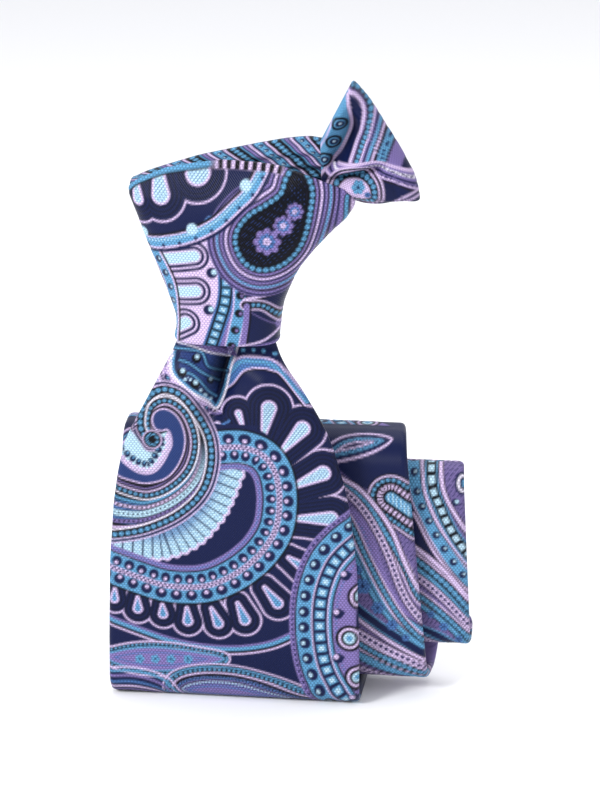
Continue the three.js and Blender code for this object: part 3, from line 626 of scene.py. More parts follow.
def knot_middle(c):
    """Tongues, beads, ladder and bands that run down to the knot's mouth."""
    ground = [(-46, 151), (-30, 153), (-22, 157), (-19, 143), (-20, 133), (-24.4, 119), (-34, 118),
              (-35.6, 130), (-39, 143)]
    c.fill(curve(ground, True), ROSE, 1)
    speckle = np.sin(c.x * 4.4 + c.z * 2.2) * np.sin(c.x * 2.2 - c.z * 4.4)
    spot = np.flatnonzero((c.ink == ROSE).all(1))
    c.paint(spot, smooth(0.45, 0.8, speckle[spot]), LILAC, 0.5)
    for base, tip in (((-38, 146.2), (-28, 148.1)), ((-37, 135.9), (-27.6, 137.2)), ((-39, 121.6),
            (-31, 126.8))):
        f = c.beside(np.array([base, tip]), 6)
        f.d = abs(f.d)
        for size, colour, pile in ((4.5, NAVY, 0), (3.6, ROSE, 1), (3.0, NAVY, 0), (2.1, ROSE, 1),
                                   (1.6, PALE, 1)):
            c.paint(f.at, c.inside(f.d - size), colour, pile)
    c.hook(-22.8, 143.1, 1.7, NAVY, PALE, 0.4)
    c.hook(-23.8, 131.5, 1.7, NAVY, PALE, 0.4)
    ladder = [(-22.6, 158), (-21.4, 155.5), (-19.9, 150.1), (-18.5, 142.6), (-18.7, 135.2),
              (-20.4, 128.8), (-24.5, 117)]
    side = [(-44, 151), (-41, 147.6), (-38.1, 142.6), (-36.2, 137.7), (-35.7, 130.3), (-36.6, 117)]
    f = c.beside(curve(side), 4)
    c.stripes(f, (-5, -1.5, NAVY), (-1.6, 2.2, ROSE), (-1.2, 1.7, CYAN), (2.2, 2.8, NIGHT))
    c.hooks(f, 0.2, 4.6, 1.1, NAVY, PALE)
    f = c.beside(curve(ladder), 4)
    c.stripes(f, (-2.5, 2.5, STEEL), (-1.9, 1.9, NIGHT))
    c.squares(f, 0, 2.9, 1.05, 1.25, CYAN)
    c.squares(f, 0, 2.9, 0.5, 0.6, PALE)
    f = c.beside(curve([(-17.1, 150), (-16.6, 146.1), (-14.4, 140.2), (-14.4, 132.7), (-15.6, 126.8),
                        (-18, 117)]), 4)
    c.stripes(f, (-2.1, 2.2, ROSE), (-1.7, 1.8, CYAN))
    c.hooks(f, 0, 5.4, 1.35, NIGHT, LILAC)


def knot_right(c):
    """The teardrop with its flowers, the lines that hug it and the wedge of satin below."""
    c.fill([(-13.2, 140), (-12.3, 131.8), (-4.6, 126.6), (4, 138), (3, 144), (-8, 141)], NAVY, 0)
    for low, mid, high in (((-13, 139.6), (-5, 143), (8, 150)), ((-13, 137.2), (-4, 140), (7, 146.5)),
                           ((-13, 135), (-4, 137.2), (6, 143))):
        line = c.beside(curve([low, mid, high]), 2)
        c.stripes(line, (-0.9, -0.3, NIGHT), (-0.3, 0.5, ROSE))
    f = c.beside(curve([(-12.8, 133.4), (-8, 133), (-4.4, 130), (-1, 126)]), 3)
    c.stripes(f, (-1.7, 1.7, ROSE), (-1.2, 1.2, NIGHT))
    c.beads(f, 0, 1.5, 0.55, CYAN)
    c.fill([(-12.3, 131.6), (-4.6, 126.2), (-3, 121), (-14.6, 119)], NAVY, 0)
    f = c.beside(curve([(-12.4, 133), (-12.8, 127), (-14.4, 117)]), 3)
    c.stripes(f, (-0.9, 0.9, LILAC), (0.9, 1.4, NIGHT))
    f = c.beside(curve([(-15, 119.6), (-8, 121.4), (-3, 124.8)]), 3)
    c.stripes(f, (-0.5, 0.3, ROSE))
    for shift, colour in ((0, CYAN), (1.7, ROSE), (3.3, STEEL), (5.0, CYAN)):
        f = c.beside(curve([(6 + shift, 142), (11 + shift, 150), (16 + shift, 158), (17 + shift, 166)]),
                     2)
        c.stripes(f, (-0.8, 0.8, NIGHT), (-0.5, 0.5, colour))
    drop = [(5.6, 171.4), (6.9, 166.4), (5.4, 157.5), (2.6, 150.6), (-2.2, 145.9), (-8, 144.4),
            (-12.8, 146.6), (-15.4, 151.6), (-15.0, 156.3), (-11.6, 160.8), (-6.6, 164), (-2.4, 167.2),
            (-0.6, 172), (2.4, 175)]
    f = c.beside(curve(drop, True), 9, closed=True)
    c.stripes(f, (0.4, 8.5, LILAC), (7.6, 8.2, NAVY), (6.2, 6.8, NIGHT), (5.2, 5.8, CYAN),
              (4.6, 5.0, NIGHT), (3.3, 3.9, NAVY), (2.6, 3.2, ROSE), (1.9, 2.4, NIGHT),
              (-1.7, 1.2, NIGHT))
    c.paint(f.at, c.inside(f.d + 1.4), NIGHT, 0)
    dots = smooth(0.5, 0.9, np.sin(c.x[f.at] * 5) * np.sin(c.z[f.at] * 5))
    c.paint(f.at, c.inside(f.d + 1.8) * dots * 0.7, DENIM, 0.4)
    c.beads(f, 0.1, 1.9, 0.72, CYAN, 1.1)
    for x, z, size in ((-6.1, 153, 3.9), (-1.3, 157.8, 2.9), (2.0, 162.0, 2.5)):
        c.flower(x, z, size, LILAC, NAVY, 8)
        c.flower(x, z, size * 0.62, STEEL, NAVY, 8)
        c.flower(x, z, size * 0.3, ROSE, NAVY, 5)


def strand_figure(x, z):
    """Figure of the narrow neck strand: slanting bands of beads, lines and C shapes."""
    c = Cloth(x, z, NAVY)
    for k in range(-5, 22):
        start = -70 + k * 12.5
        line = np.array([(start, -2), (start + 22, 30)])
        f = c.beside(line, 7)
        c.stripes(f, (-4.6, -3.9, ROSE), (-3.4, -2.7, LILAC), (-1.9, 1.7, NIGHT), (1.7, 2.3, ROSE),
                  (2.9, 5.0, CYAN), (-2.3, -1.9, CYAN))
        c.beads(f, -0.1, 2.0, 0.8, CYAN)
        c.hooks(f, 3.9, 3.2, 0.8, NAVY, PALE)
    return c


def wing_figure(x, z):
    """Figure of the pinched wing: a band of C shapes on the lip, satin in the valley, bands that
    drop from the tip and turn along the crease, and a flowered patch on the lower swell."""
    c = Cloth(x, z, NAVY)
    right = [(16.4, 197.3), (18.8, 195.9), (20.9, 193.1), (21.5, 190), (20.6, 185.4), (19.2, 181.5),
             (17.6, 176)]
    f = c.beside(curve([(14, 201)] + right), 16)
    c.stripes(f, (0.4, 15, LILAC), (-0.5, 0.5, ROSE), (0.8, 1.2, NIGHT), (1.2, 2.7, NIGHT),
              (2.7, 3.2, ROSE), (3.6, 4.2, NAVY), (4.4, 5.4, CYAN), (5.4, 5.9, NIGHT),
              (5.9, 6.6, ROSE), (6.6, 7.5, NIGHT), (7.5, 10, CYAN), (10, 10.6, NIGHT))
    c.beads(f, 1.95, 1.5, 0.62, CYAN)
    c.beads(f, 8.7, 1.6, 0.5, NAVY)
    turned = [(14, 175), (20, 175.4), (25.8, 176.2), (30, 174.8), (36, 172.6), (42, 170)]
    f = c.beside(curve(turned), 16)
    c.stripes(f, (-16, 0, NAVY), (-5.2, -0.2, LILAC), (-0.5, 0.4, ROSE), (-2.0, -1.2, WHITE),
              (-3.4, -2.8, NAVY), (-4.6, -4.0, ROSE), (-5.4, -4.8, NIGHT))
    c.beads(f, -1.6, 1.4, 0.4, NAVY)
    c.beads(f, -3.9, 1.4, 0.35, NAVY)
    patch = [(13, 168.6), (15.5, 171.4), (20.4, 172), (23.6, 170.5), (25.2, 167.6), (24.4, 164),
             (18, 163.6), (13.6, 165.4)]
    f = c.beside(curve(patch, True), 6, closed=True)
    c.stripes(f, (-9, -1.2, ROSE), (-1.4, 0.9, NIGHT), (0.9, 1.5, ROSE), (2.0, 2.7, ROSE),
              (1.5, 2.0, NIGHT))
    c.beads(f, -0.2, 1.7, 0.72, CYAN)
    c.flower(20.2, 168.4, 2.0, CYAN, NAVY, 6)
    c.flower(23.0, 166.2, 1.0, STEEL, NAVY, 5)
    for low in (0, 1.7):
        f = c.beside(curve([(30, 163 - low), (34, 165.2 - low), (39, 167.6 - low)]), 2)
        c.stripe(f, -0.35, 0.35, ROSE)
    lip = [(7.0, 168), (8.4, 171.2), (11.1, 174.6), (14.1, 178.3), (16.1, 182.3), (17.3, 186),
           (17.3, 190.7), (16.7, 196)]
    f = c.beside(curve(lip), 12)
    c.stripes(f, (0.5, 9, CYAN), (-0.5, 0.5, ROSE), (5.4, 5.9, ROSE))
    for x, z in ((14.3, 187.2), (12.3, 181.4), (9.6, 176)):
        c.rings(x, z, (2.2, NIGHT, 0), (1.5, CYAN, 1), (1.0, NAVY, 0))
        c.hook(x + 0.5, z - 0.2, 0.8, NAVY, PALE, 2.6)
    c.stripes(f, (7.6, 8.1, NIGHT), (8.1, 8.8, ROSE))
    return c


# ---------------------------------------------------------------- cloth into meshes


def strip_line(corners, arc=24):
    """Rows of distance, a, b and face-side normal along a folded strip's middle line:
    straight runs joined by quarter bends, each given as corner a, corner b, bend radius."""
    rows, run = [], 0.0
    here = np.array(corners[0][:2], float)
    for i in range(1, len(corners)):
        corner, radius = np.array(corners[i][:2], float), corners[i][2]
        way = corner - np.array(corners[i - 1][:2])
        way = way / np.hypot(*way)
        stop = corner - way * radius
        rows.append((run, *here, way[1], -way[0]))
        run += np.hypot(*(stop - here))
        rows.append((run, *stop, way[1], -way[0]))
        here = stop
        if radius:
            out = np.array(corners[i + 1][:2]) - corner
            out = out / np.hypot(*out)
            for angle in np.linspace(0, math.pi / 2, arc + 1)[1:-1]:
                p = stop + radius * (way * math.sin(angle) + out * (1 - math.cos(angle)))
                turn = way * math.cos(angle) + out * math.sin(angle)
                rows.append((run + angle * radius, *p, turn[1], -turn[0]))
            run += math.pi / 2 * radius
            here = corner + out * radius
    return np.array(rows)


def follow(line, s):
    """Middle line and normal of a strip at distances s, read between the rows of strip_line."""
    return [np.interp(s, line[:, 0], line[:, k]) for k in range(1, 5)]


def ring(face, back, turn=6):
    """One turn round a flattened sleeve: across the face from left to right, round the right edge,
    back across the seam side and round the left edge. Rows are place across, edge reach, depth."""
    angle = np.radians(np.linspace(90, -90, turn + 2)[1:-1])
    zero, one = np.zeros_like, np.ones_like
    parts = [
        (face, zero(face), one(face)),
        (one(angle), np.cos(angle), np.sin(angle)),
        (back[::-1], zero(back), -one(back)),
        (zero(angle), -np.cos(angle), -np.sin(angle)),
    ]
    return np.hstack([np.array(part) for part in parts])


def tube(place, s, width, turn, thickness, lift=0.0):
    """Points of a flattened sleeve. place gives the middle surface and its normal at distance s and
    share F of the width; the ring sets how far across and how deep each column lies."""
    half = np.minimum(thickness / 2, width / 2)[:, None]
    f, reach, depth = turn
    wide = width[:, None]
    share = (half + (wide - 2 * half) * f + half * reach) / wide
    seam = 0.14 * thickness * smooth(0.455, 0.49, f) * (1 - smooth(0.5, 0.503, f)) * (depth < -0.99)
    point, normal = place(s[:, None], share)
    return point + normal * (half * depth - seam + lift)[..., None]


def grid_faces(rows, columns, closed):
    """Four-sided faces between neighbouring rows of points; columns always join up in a ring."""
    here = np.arange(rows * columns).reshape(rows, columns)
    down = np.roll(here, -1, axis=0) if closed else here[1:]
    here = here if closed else here[:-1]
    return np.stack([here, np.roll(here, -1, 1), np.roll(down, -1, 1), down], -1).reshape(-1, 4)


def cloth_mesh(name, points, cloth, lay, closed=False):
    """Mesh from rows of rings, with flat caps on open ends. Each vertex holds
    its yarn colour (with painted shade beside the knot's dimple), its pile height and its place on the loom
    in millimetres."""
    rows, columns = points.shape[:2]
    quads = grid_faces(rows, columns, closed)
    spots = points.reshape(-1, 3)
    a, b, c = (spots[quads[:, k]] for k in range(3))
    inside_out = np.einsum("ij,ij->", a, np.cross(b, c)) < 0
    if inside_out:
        quads = quads[:, ::-1]
    across, down = np.meshgrid(np.arange(columns) / columns, np.linspace(0, 0.95, rows))
    uv = np.stack([across.ravel() * 0.98, down.ravel()], 1)
    lay = lay.reshape(-1, 2)
    loops, starts = quads.ravel(), np.arange(0, quads.size, 4)
    loop_uv, smooth_faces = uv[loops], np.ones(starts.size, bool)
    if not closed:
        for row, height in ((0, 0.965), (rows - 1, 0.985)):
            cap = np.arange(row * columns, (row + 1) * columns)
            cap = cap[::-1] if (row == 0) != inside_out else cap
            size = np.ptp(spots[cap], axis=0) + 1e-6
            flat = np.argsort(-size)[:2]
            place = (spots[cap] - spots[cap].min(0))[:, flat] / size[flat]
            loop_uv = np.vstack([loop_uv, place * (0.9, 0.01) + (0.02, height)])
            starts, smooth_faces = np.append(starts, loops.size), np.append(smooth_faces, False)
            loops = np.append(loops, cap)
    mesh = bpy.data.meshes.new(name)
    mesh.vertices.add(len(spots))
    mesh.vertices.foreach_set("co", shown(spots).astype(np.float32).ravel())
    mesh.loops.add(loops.size)
    mesh.loops.foreach_set("vertex_index", loops.astype(np.int32))
    mesh.polygons.add(starts.size)
    mesh.polygons.foreach_set("loop_start", starts.astype(np.int32))
    mesh.polygons.foreach_set("use_smooth", smooth_faces)
    mesh.update(calc_edges=True)
    tint = mesh.color_attributes.new("ink", "FLOAT_COLOR", "POINT")
    ink = np.hstack([cloth.ink, np.ones((len(spots), 1))])
    tint.data.foreach_set("color", ink.astype(np.float32).ravel())
    raised = mesh.attributes.new("pile", "FLOAT", "POINT")
    raised.data.foreach_set("value", cloth.pile.astype(np.float32))
    loom = mesh.attributes.new("loom", "FLOAT_VECTOR", "POINT")
    lay = np.hstack([lay, np.zeros((len(spots), 1))])
    loom.data.foreach_set("vector", lay.astype(np.float32).ravel())
    layer = mesh.uv_layers.new(name="OFBake")
    layer.data.foreach_set("uv", loop_uv.astype(np.float32).ravel())
    piece = bpy.data.objects.new(name, mesh)
    bpy.context.collection.objects.link(piece)
    return piece


# ---------------------------------------------------------------- the blade

LINE = strip_line([(0.0, 126.0, 0)] + BLADE_LINE[1:])
LINE[:, 0] -= 126.0 - PANEL_TOP


def panel_at(panel, height):
    """Distance along the strip at which a panel passes a height; past its ends, where it ends."""
    run = LINE[np.isclose(LINE[:, 1], LAYER[panel])]
    run = run[np.argsort(run[:, 2])]
    return float(np.interp(height, run[:, 2], run[:, 0]))


LOW, HIGH = 0.0, 200.0              # below and above every fold
REPEAT, REPEAT_START = 108, 14
END = LINE[-1, 0]
FOLDS = [panel_at(2, LOW)] + [
    (panel_at(k, end) + panel_at(k + 1, end)) / 2 for k, end in ((2, HIGH), (3, LOW), (4, HIGH), (5, LOW))
]


def blade_edges():
    """Left and right edge at every half millimetre of the strip, eased round the corners."""
    rows = [(PANEL_TOP - z, left, right) for z, left, right in FRONT_EDGES]
    rows += [(s, *edge) for s, edge in zip(FOLDS, ROLL_EDGES)]
    rows += [(END - TIP + SHOULDER, -36.6, 55.4), (END, 7.9, 10.9)]
    rows = np.array(rows)
    s = np.arange(rows[0, 0], END + 0.25, 0.5)
    left, right = np.interp(s, rows[:, 0], rows[:, 1]), np.interp(s, rows[:, 0], rows[:, 2])
    soft = np.hanning(17) / np.hanning(17).sum()
    for edge in (left, right):
        edge[8:-8] = np.convolve(edge, soft, "valid")
    return s, left, right


EDGE_S, EDGE_LEFT, EDGE_RIGHT = blade_edges()


def blade_width(s):
    return np.interp(s, EDGE_S, EDGE_RIGHT) - np.interp(s, EDGE_S, EDGE_LEFT)


def swell(x, z):
    """How far the front panel stands forward below the knot: it leans out towards the mouth and
    gathers into two rounded lobes with a dimple between them."""
    lean = 2.2 * smooth(82, 110, z) - 1.6 * smooth(110, 118, z)
    mound = smooth(88, 107, z) * (1 - smooth(107, 118, z))
    left = 3.6 * np.exp(-((x + 31) / 6.5) ** 2) * mound
    right = 4.2 * np.exp(-((x + 8.5) / 8) ** 2) * mound
    crease = np.interp(z, [92.9, 115], [-25.2, -19.5])
    dimple = 7.5 * np.exp(-((x - crease) / 3.2) ** 2) * smooth(86, 106, z)
    ripple = 0.5 * np.sin(z / 11 + x / 23) * smooth(5, 30, z)
    return lean + left + right - dimple + ripple


def blade_place(s, share):
    """Middle surface and face normal of the blade at distance s and share of its width."""
    left = np.interp(s, EDGE_S, EDGE_LEFT)
    x = left + share * (np.interp(s, EDGE_S, EDGE_RIGHT) - left)
    y, z, face_y, face_z = follow(LINE, s)
    front = s < FOLDS[0] - 40
    y = y - np.where(front, swell(x, PANEL_TOP - s), 0)
    sag = 0.35 * np.sin(x / 17 + s / 31) * (~front)
    point = np.stack(np.broadcast_arrays(x, y + sag * abs(face_y), z), -1)
    normal = np.stack(np.broadcast_arrays(0 * x, face_y, face_z), -1)
    return point, normal


def rows_between(*stops):
    """Distances along a strip: each stop is where a stretch ends and its row spacing."""
    out = [np.array([stops[0]])]
    for end, pitch in stops[1:]:
        start = out[-1][-1]
        count = max(1, round((end - start) / pitch))
        out.append(np.linspace(start, end, count + 1)[1:])
    return np.concatenate(out)


def spread(width, pitch, sparse=0.0):
    """Places across a face, pitch apart, three times as far apart over the sparse share at the left."""
    far = np.linspace(0, sparse, max(2, int(width * sparse / (3 * pitch))), endpoint=False)
    near = np.linspace(sparse, 1, int(width * (1 - sparse) / pitch) + 1)
    return np.append(far, near) if sparse else near


def blade_cloth(s, points):
    """The woven figure on the blade at each point of its rings. The front figure is drawn once; the
    other two are mirrored to and fro across the cloth and start again every REPEAT along it."""
    x = points[..., 0].ravel()
    s = np.broadcast_to(s[:, None], points.shape[:2]).ravel()
    whole = Cloth(x[:1], s[:1])
    whole.ink, whole.pile = np.zeros((x.size, 3)), np.zeros(x.size)
    stretches = [(-99, FOLDS[1], front_figure, None),
                 (FOLDS[1], FOLDS[3], middle_figure, (8, 34, panel_at(3, 40) + 40)),
                 (FOLDS[3], END + 1, last_figure, (33, 23, panel_at(5, 40) + 40))]
    for low, high, figure, mirrored in stretches:
        at = np.flatnonzero((s >= low) & (s < high))
        if at.size:
            if mirrored:
                left, wide, base = mirrored
                across = left + wide - abs(np.mod(x[at] - left, 2 * wide) - wide)
                z = np.mod(base - s[at] + REPEAT_START, REPEAT) - REPEAT_START
            else:
                across, z = x[at], np.mod(PANEL_TOP - s[at], PANEL_TOP + 7.6)
                out = swell(across, z) * smooth(0, 12, z)
                across, z = across - 0.12 * out, z - 0.3 * out
            cloth = figure(across, z)
            whole.ink[at], whole.pile[at] = cloth.ink, cloth.pile
    return whole


def blade_piece(name, s, face, back):
    """A stretch of the blade: the sleeve's rings carried along the strip, its figure raised on the face."""
    turn = ring(face, back)
    width = blade_width(s)
    flat = tube(blade_place, s, width, turn, SHELL)
    cloth = blade_cloth(s, flat)
    pile = cloth.pile.reshape(flat.shape[:2])
    points = tube(blade_place, s, width, turn, SHELL, lift=BLADE_PILE * pile)
    lay = np.stack(np.broadcast_arrays(flat[..., 0], s[:, None]), -1)
    return cloth_mesh(name, points, cloth, lay)


# ---------------------------------------------------------------- the knot


def eased(rows, at, soft=9):
    """Columns 1 on of a table read at the given first-column values, with rounded corners."""
    grid = np.arange(rows[0, 0] - 8, rows[-1, 0] + 8, 0.25)
    kernel = np.hanning(8 * soft + 1) / np.hanning(8 * soft + 1).sum()
    out = []
    for k in range(1, rows.shape[1]):
        value = np.interp(grid, rows[:, 0], rows[:, k])
        wide = np.pad(value, 4 * soft, mode="edge")
        out.append(np.interp(at, grid, np.convolve(wide, kernel, "valid")))
    return out


KNOT_TOP = np.array([
    (-50.4, 166.6), (-47.5, 169.2), (-44, 171.0), (-38.3, 173.3), (-29, 175.0), (-20.5, 176.0),
    (-10, 175.6), (-2.1, 174.7), (8.8, 171.2), (16.3, 168.3), (20.5, 163.8),
])
KNOT_WALL = 3.0


def knot_place(turn, height, inset):
    """A point of the knot. turn is 0 to 1 across the front and 1 to 2 across the back; each level is
    two halves of a blunt ellipse, |cos| and |sin| to the power 0.8, between the level's edges."""
    share = np.where(turn <= 1, turn, 2 - turn)
    level = np.minimum(height, KNOT_BROW)
    left, right, _, _ = eased(KNOT, level, 5)
    _, _, front, back = eased(KNOT, height, 5)
    half = (right - left) / 2 - inset
    middle = (left + right) / 2
    across = 2 * share - 1
    deep = np.sqrt(np.clip(1 - np.abs(across) ** 2.5, 0, 1)) ** 0.8
    depth = np.where(turn <= 1, -(front - inset * 0.9) * deep, (back - inset * 0.9) * deep)
    return np.stack(np.broadcast_arrays(middle + half * across, depth, height), -1)


def knot_top(x, turn):
    """Height of the knot's top edge: a rolled curve in front, level behind."""
    front = np.interp(x, KNOT_TOP[:, 0], KNOT_TOP[:, 1])
    behind = smooth(0.0, 0.12, np.minimum(turn - 1, 2 - turn))
    return np.where(turn <= 1, front, front + (163.5 - front) * behind)


def knot_piece():
    """The wrapped knot: an outer wall from the mouth up to the rolled top edge, over the edge and
    down the inner wall, and round the mouth's lip, closed both ways."""
    front, behind = 240, 90
    turn = np.append((1 - np.cos(np.linspace(0, math.pi, front, endpoint=False))) / 2,
                     1 + (1 - np.cos(np.linspace(0, math.pi, behind, endpoint=False))) / 2)[None, :]
    share = np.where(turn <= 1, turn, 2 - turn)
    left, right, _, _ = eased(KNOT, np.array([[KNOT_BROW]]), 5)
    top = knot_top(left + (right - left) * share, turn)
    low = KNOT_MOUTH + 0.0 * turn
    lip, radius = np.linspace(0, math.pi, 9)[1:-1, None], KNOT_WALL / 2
    rise = np.linspace(0, 1, 112)[:, None]
    fall = np.linspace(1, 0, 16)[:, None]
    height = np.vstack([
        low + radius + (top - low - 2 * radius) * rise, top - radius + radius * np.sin(lip),
        low + radius + (top - low - 2 * radius) * fall, low + radius - radius * np.sin(lip)])
    inset = np.vstack([0 * rise, radius * (1 - np.cos(lip)), 0 * fall + KNOT_WALL,
                       radius * (1 + np.cos(lip))])
    turns = np.broadcast_to(turn, height.shape)
    points = knot_place(turns, height, inset)
    cloth = knot_figure(points[..., 0], points[..., 2])
    pile = cloth.pile.reshape(height.shape)
    folds = knot_folds(points[..., 0], points[..., 2]) * (turns < 1) * (inset < 0.5)
    points = points + (knot_place(turns, height, inset - KNOT_PILE * pile - folds) - points)
    return cloth_mesh("knot", points, cloth, points[..., [0, 2]], closed=True)


def knot_folds(x, z):
    """Slack in the front wrap: shallow pulls that fan out from the upper right and die to the left."""
    angle = np.arctan2(z - 172, x - 14)
    reach = np.hypot(z - 172, x - 14)
    return 0.55 * np.cos(angle * 9) * smooth(8, 22, reach) * (1 - smooth(34, 60, reach))


# ---------------------------------------------------------------- the neck loop


def band_piece():
    """The neck strand behind the knot's top edge: flattened rings along x whose pleats gather
    towards the pinch at the right."""
    x = np.linspace(TOP_BAND[0, 0], 9.5, 130)[:, None]
    low, high = eased(TOP_BAND, x, 3)
    turn = np.linspace(0, 2 * math.pi, 120, endpoint=False)[None, :]
    gather = smooth(-30, 8, x)
    up = 0.5 + 0.5 * np.cos(turn)
    pleat = 0.9 * gather * np.cos(up * 2 * math.pi * 4) * np.clip(-np.sin(turn), 0, 1)
    y = 4.75 + (4.25 + pleat) * np.sin(turn)
    points = np.stack(np.broadcast_arrays(x, y, low + (high - low) * up), -1)
    share = np.where(turn <= math.pi, up, 1 - up) + 0 * x
    cloth = strand_figure(x + 0 * up, share * 26)
    return cloth_mesh("neck_band", points, cloth, np.stack([x + 0 * up, 26 * share], -1))


FOLD_EDGE = curve([(38.4, 163.1), (36.4, 171.0), (32.4, 178.6), (27.6, 186.3), (22.6, 194.0),
                   (17.7, 199.6)])
PINCH = curve([(9.4, 166.8), (9.0, 168.6), (8.8, 170.2), (8.8, 172.4), (8.6, 177.0), (8.4, 181.6)])


def wing_place(s, share):
    """Middle surface of the neck loop's wing. s runs from the pinch (0) out along the front to the
    fold (1), round it (to 2) and back along the rear (3); share runs from the low edge to the high."""
    steps = np.linspace(0, 1, len(FOLD_EDGE))
    knot_steps = np.linspace(0, 1, len(PINCH))
    outer = np.stack([np.interp(share, steps, FOLD_EDGE[:, k]) for k in (0, 1)], -1)
    inner = np.stack([np.interp(share, knot_steps, PINCH[:, k]) for k in (0, 1)], -1)
    way = outer - inner
    reach = np.hypot(way[..., 0], way[..., 1])
    way = way / reach[..., None]
    t = np.where(s < 1, s, np.where(s < 2, 1.0, 3 - s))
    angle = math.pi * np.clip(s - 1, 0, 1)
    radius = 2.8 + 1.0 * np.sin(math.pi * share)
    out = (reach - radius - STRAP / 2) * t + radius * np.sin(angle)
    flat = inner + way * out[..., None]
    dip = -(1.6 + 2.4 * smooth(1.2, 1.8, s)) * np.sin(math.pi * t) * (1 - share) ** 3
    lip = 3.4 * np.exp(-((share - 0.93) / 0.07) ** 2) * smooth(0.0, 0.35, t) * (1 - 0.3 * t)
    hollow = smooth(0.02, 0.3, t) * (1 - smooth(0.75, 1.0, t))
    valley = -5.6 * np.exp(-((share - 0.6 - 0.2 * t) / 0.1) ** 2) * hollow
    mound = 2.2 * np.exp(-((share - 0.45) / 0.1) ** 2) * smooth(0.1, 0.5, t)
    tuck = -3.4 * np.exp(-((share - 0.32 - 0.02 * t) / 0.045) ** 2) * hollow
    bulge = 3.4 * np.exp(-((share - 0.13) / 0.12) ** 2) * np.sin(math.pi * np.clip(t * 1.1, 0, 1)) ** 0.7
    front = lip + valley + mound + tuck + bulge
    y = 4.7 - radius * np.cos(angle) - front * (1 - smooth(0.9, 1.5, s))
    point = np.stack([flat[..., 0], y, flat[..., 1] + dip], -1)
    normal = np.broadcast_arrays(way[..., 0] * np.sin(angle), -np.cos(angle), way[..., 1] * np.sin(angle))
    return point, np.stack(normal, -1)


def wing_piece():
    """The neck loop pressed flat and pinched: a sleeve out along the front, round the fold and back."""
    s = rows_between(0.0, (0.95, 0.015), (2.05, 0.05), (3.0, 0.04))
    turn = ring(spread(40, 0.4), spread(40, 2.0))
    share, width = turn[0][None, :], 10 + 30 * np.interp(s, [0, 1, 2, 3], [0, 1, 1, 0])
    flat = tube(wing_place, s, width, turn, STRAP)
    cloth = wing_figure(flat[..., 0], flat[..., 2])
    points = tube(wing_place, s, width, turn, STRAP, lift=KNOT_PILE * cloth.pile.reshape(flat.shape[:2]))
    lay = np.stack(np.broadcast_arrays(share * 36, s[:, None] * 26), -1)
    return cloth_mesh("neck_wing", points, cloth, lay)


def fold_line():
    """The neck loop's hidden length, folded to and fro behind the knot, seen from above."""
    right, left, first, pitch = (BUNDLE[k] for k in ("right", "left", "first", "pitch"))
    corners = [(1.0, 7.0, 0), (1.0, first, 4.0)]
    for k in range(5):
        y, end = first + k * pitch, (left, right)[k % 2]
        corners += [(end, y, pitch / 2), (end, y + pitch, pitch / 2)] if k < 4 else [(end + 4, y, 0)]
    return strip_line(corners, 10)


def folds_piece():
    """The folded neck strand: a sleeve standing on edge along the to-and-fro line."""
    line = fold_line()
    tall = BUNDLE["high"] - BUNDLE["low"]

    def place(s, share):
        x, y, across, deep = follow(line, s)
        z = BUNDLE["low"] + tall * share + 0.5 * np.sin(s / 9) + 6.0 * (1 - smooth(6, 40, s))
        point = np.stack(np.broadcast_arrays(x, y, z), -1)
        return point, np.stack(np.broadcast_arrays(across, deep, 0 * z), -1)

    s = rows_between(0.0, (line[-1, 0], 0.8))
    turn = ring(spread(tall, 0.7), spread(tall, 2.0))
    points = tube(place, s, np.full(s.size, tall), turn, STRAP)
    share = turn[0][None, :] + 0 * s[:, None]
    cloth = strand_figure(s[:, None] + 0 * share, share * tall)
    return cloth_mesh("neck_folds", points, cloth, np.stack([share * tall, s[:, None] + 0 * share], -1))


# ---------------------------------------------------------------- the tail


def tail_piece():
    """The narrow end: a straight sleeve behind the front panel, cut to a point at the bottom."""
    rows = np.array(TAIL_WIDTHS)

    def place(s, share):
        z = TAIL["top"] - s
        width = np.interp(z, rows[:, 0], rows[:, 1])
        x = TAIL["x"] + width * (share - 0.5)
        point = np.stack(np.broadcast_arrays(x, TAIL["y"] + 0 * x, z), -1)
        return point, np.stack(np.broadcast_arrays(0 * x, -1.0, 0), -1)

    s = rows_between(0.0, (TAIL["top"] - TAIL["tip"], 0.9))
    turn = ring(spread(36, 0.9), spread(36, 1.8))
    width = np.interp(TAIL["top"] - s, rows[:, 0], rows[:, 1])
    points = tube(place, s, width, turn, STRAP)
    cloth = front_figure(points[..., 0] - 6, np.mod(points[..., 2] * 1.15, 118))
    return cloth_mesh("tail_strap", points, cloth, points[..., [0, 2]])


# ---------------------------------------------------------------- lining, keeper and stitches

LINING = yarn_colour(58, 74, 118)
SEAM = {panel: LAYER[panel] + side * (SHELL / 2 + 0.3) for panel, side in ((4, -1), (5, 1), (6, -1))}
TAIL_SEAM = TAIL["y"] + STRAP / 2 + 0.3


def lining_piece(name, rows, depth):
    """Lining sewn over the seam side of an end: a thin sheet between a left and a right edge given
    by height, with a turned hem along both."""
    rows = np.array(rows)

    def place(s, share):
        left, right = (np.interp(s, rows[:, 0], rows[:, k]) for k in (1, 2))
        x = left + (right - left) * share
        hem = 0.12 * smooth(3.0, 1.6, np.minimum(x - left, right - x))
        y = depth + hem + 0.06 * np.sin(x / 5 + s / 7)
        return (np.stack(np.broadcast_arrays(x, y, s), -1),
                np.stack(np.broadcast_arrays(0 * x, 1.0, 0), -1))

    s = rows_between(rows[0, 0], (rows[-1, 0], 0.5))
    width = np.interp(s, rows[:, 0], rows[:, 2] - rows[:, 1])
    points = tube(place, s, width, ring(spread(60, 0.7), spread(60, 0.7)), 0.5)
    cloth = Cloth(points[..., 0], points[..., 2], LINING)
    f = cloth.beside(rows[:, [1, 0]], 3)
    cloth.beads(f, 0, 1.6, 0.3, PALE)
    return cloth_mesh(name, points, cloth, points[..., [0, 2]])


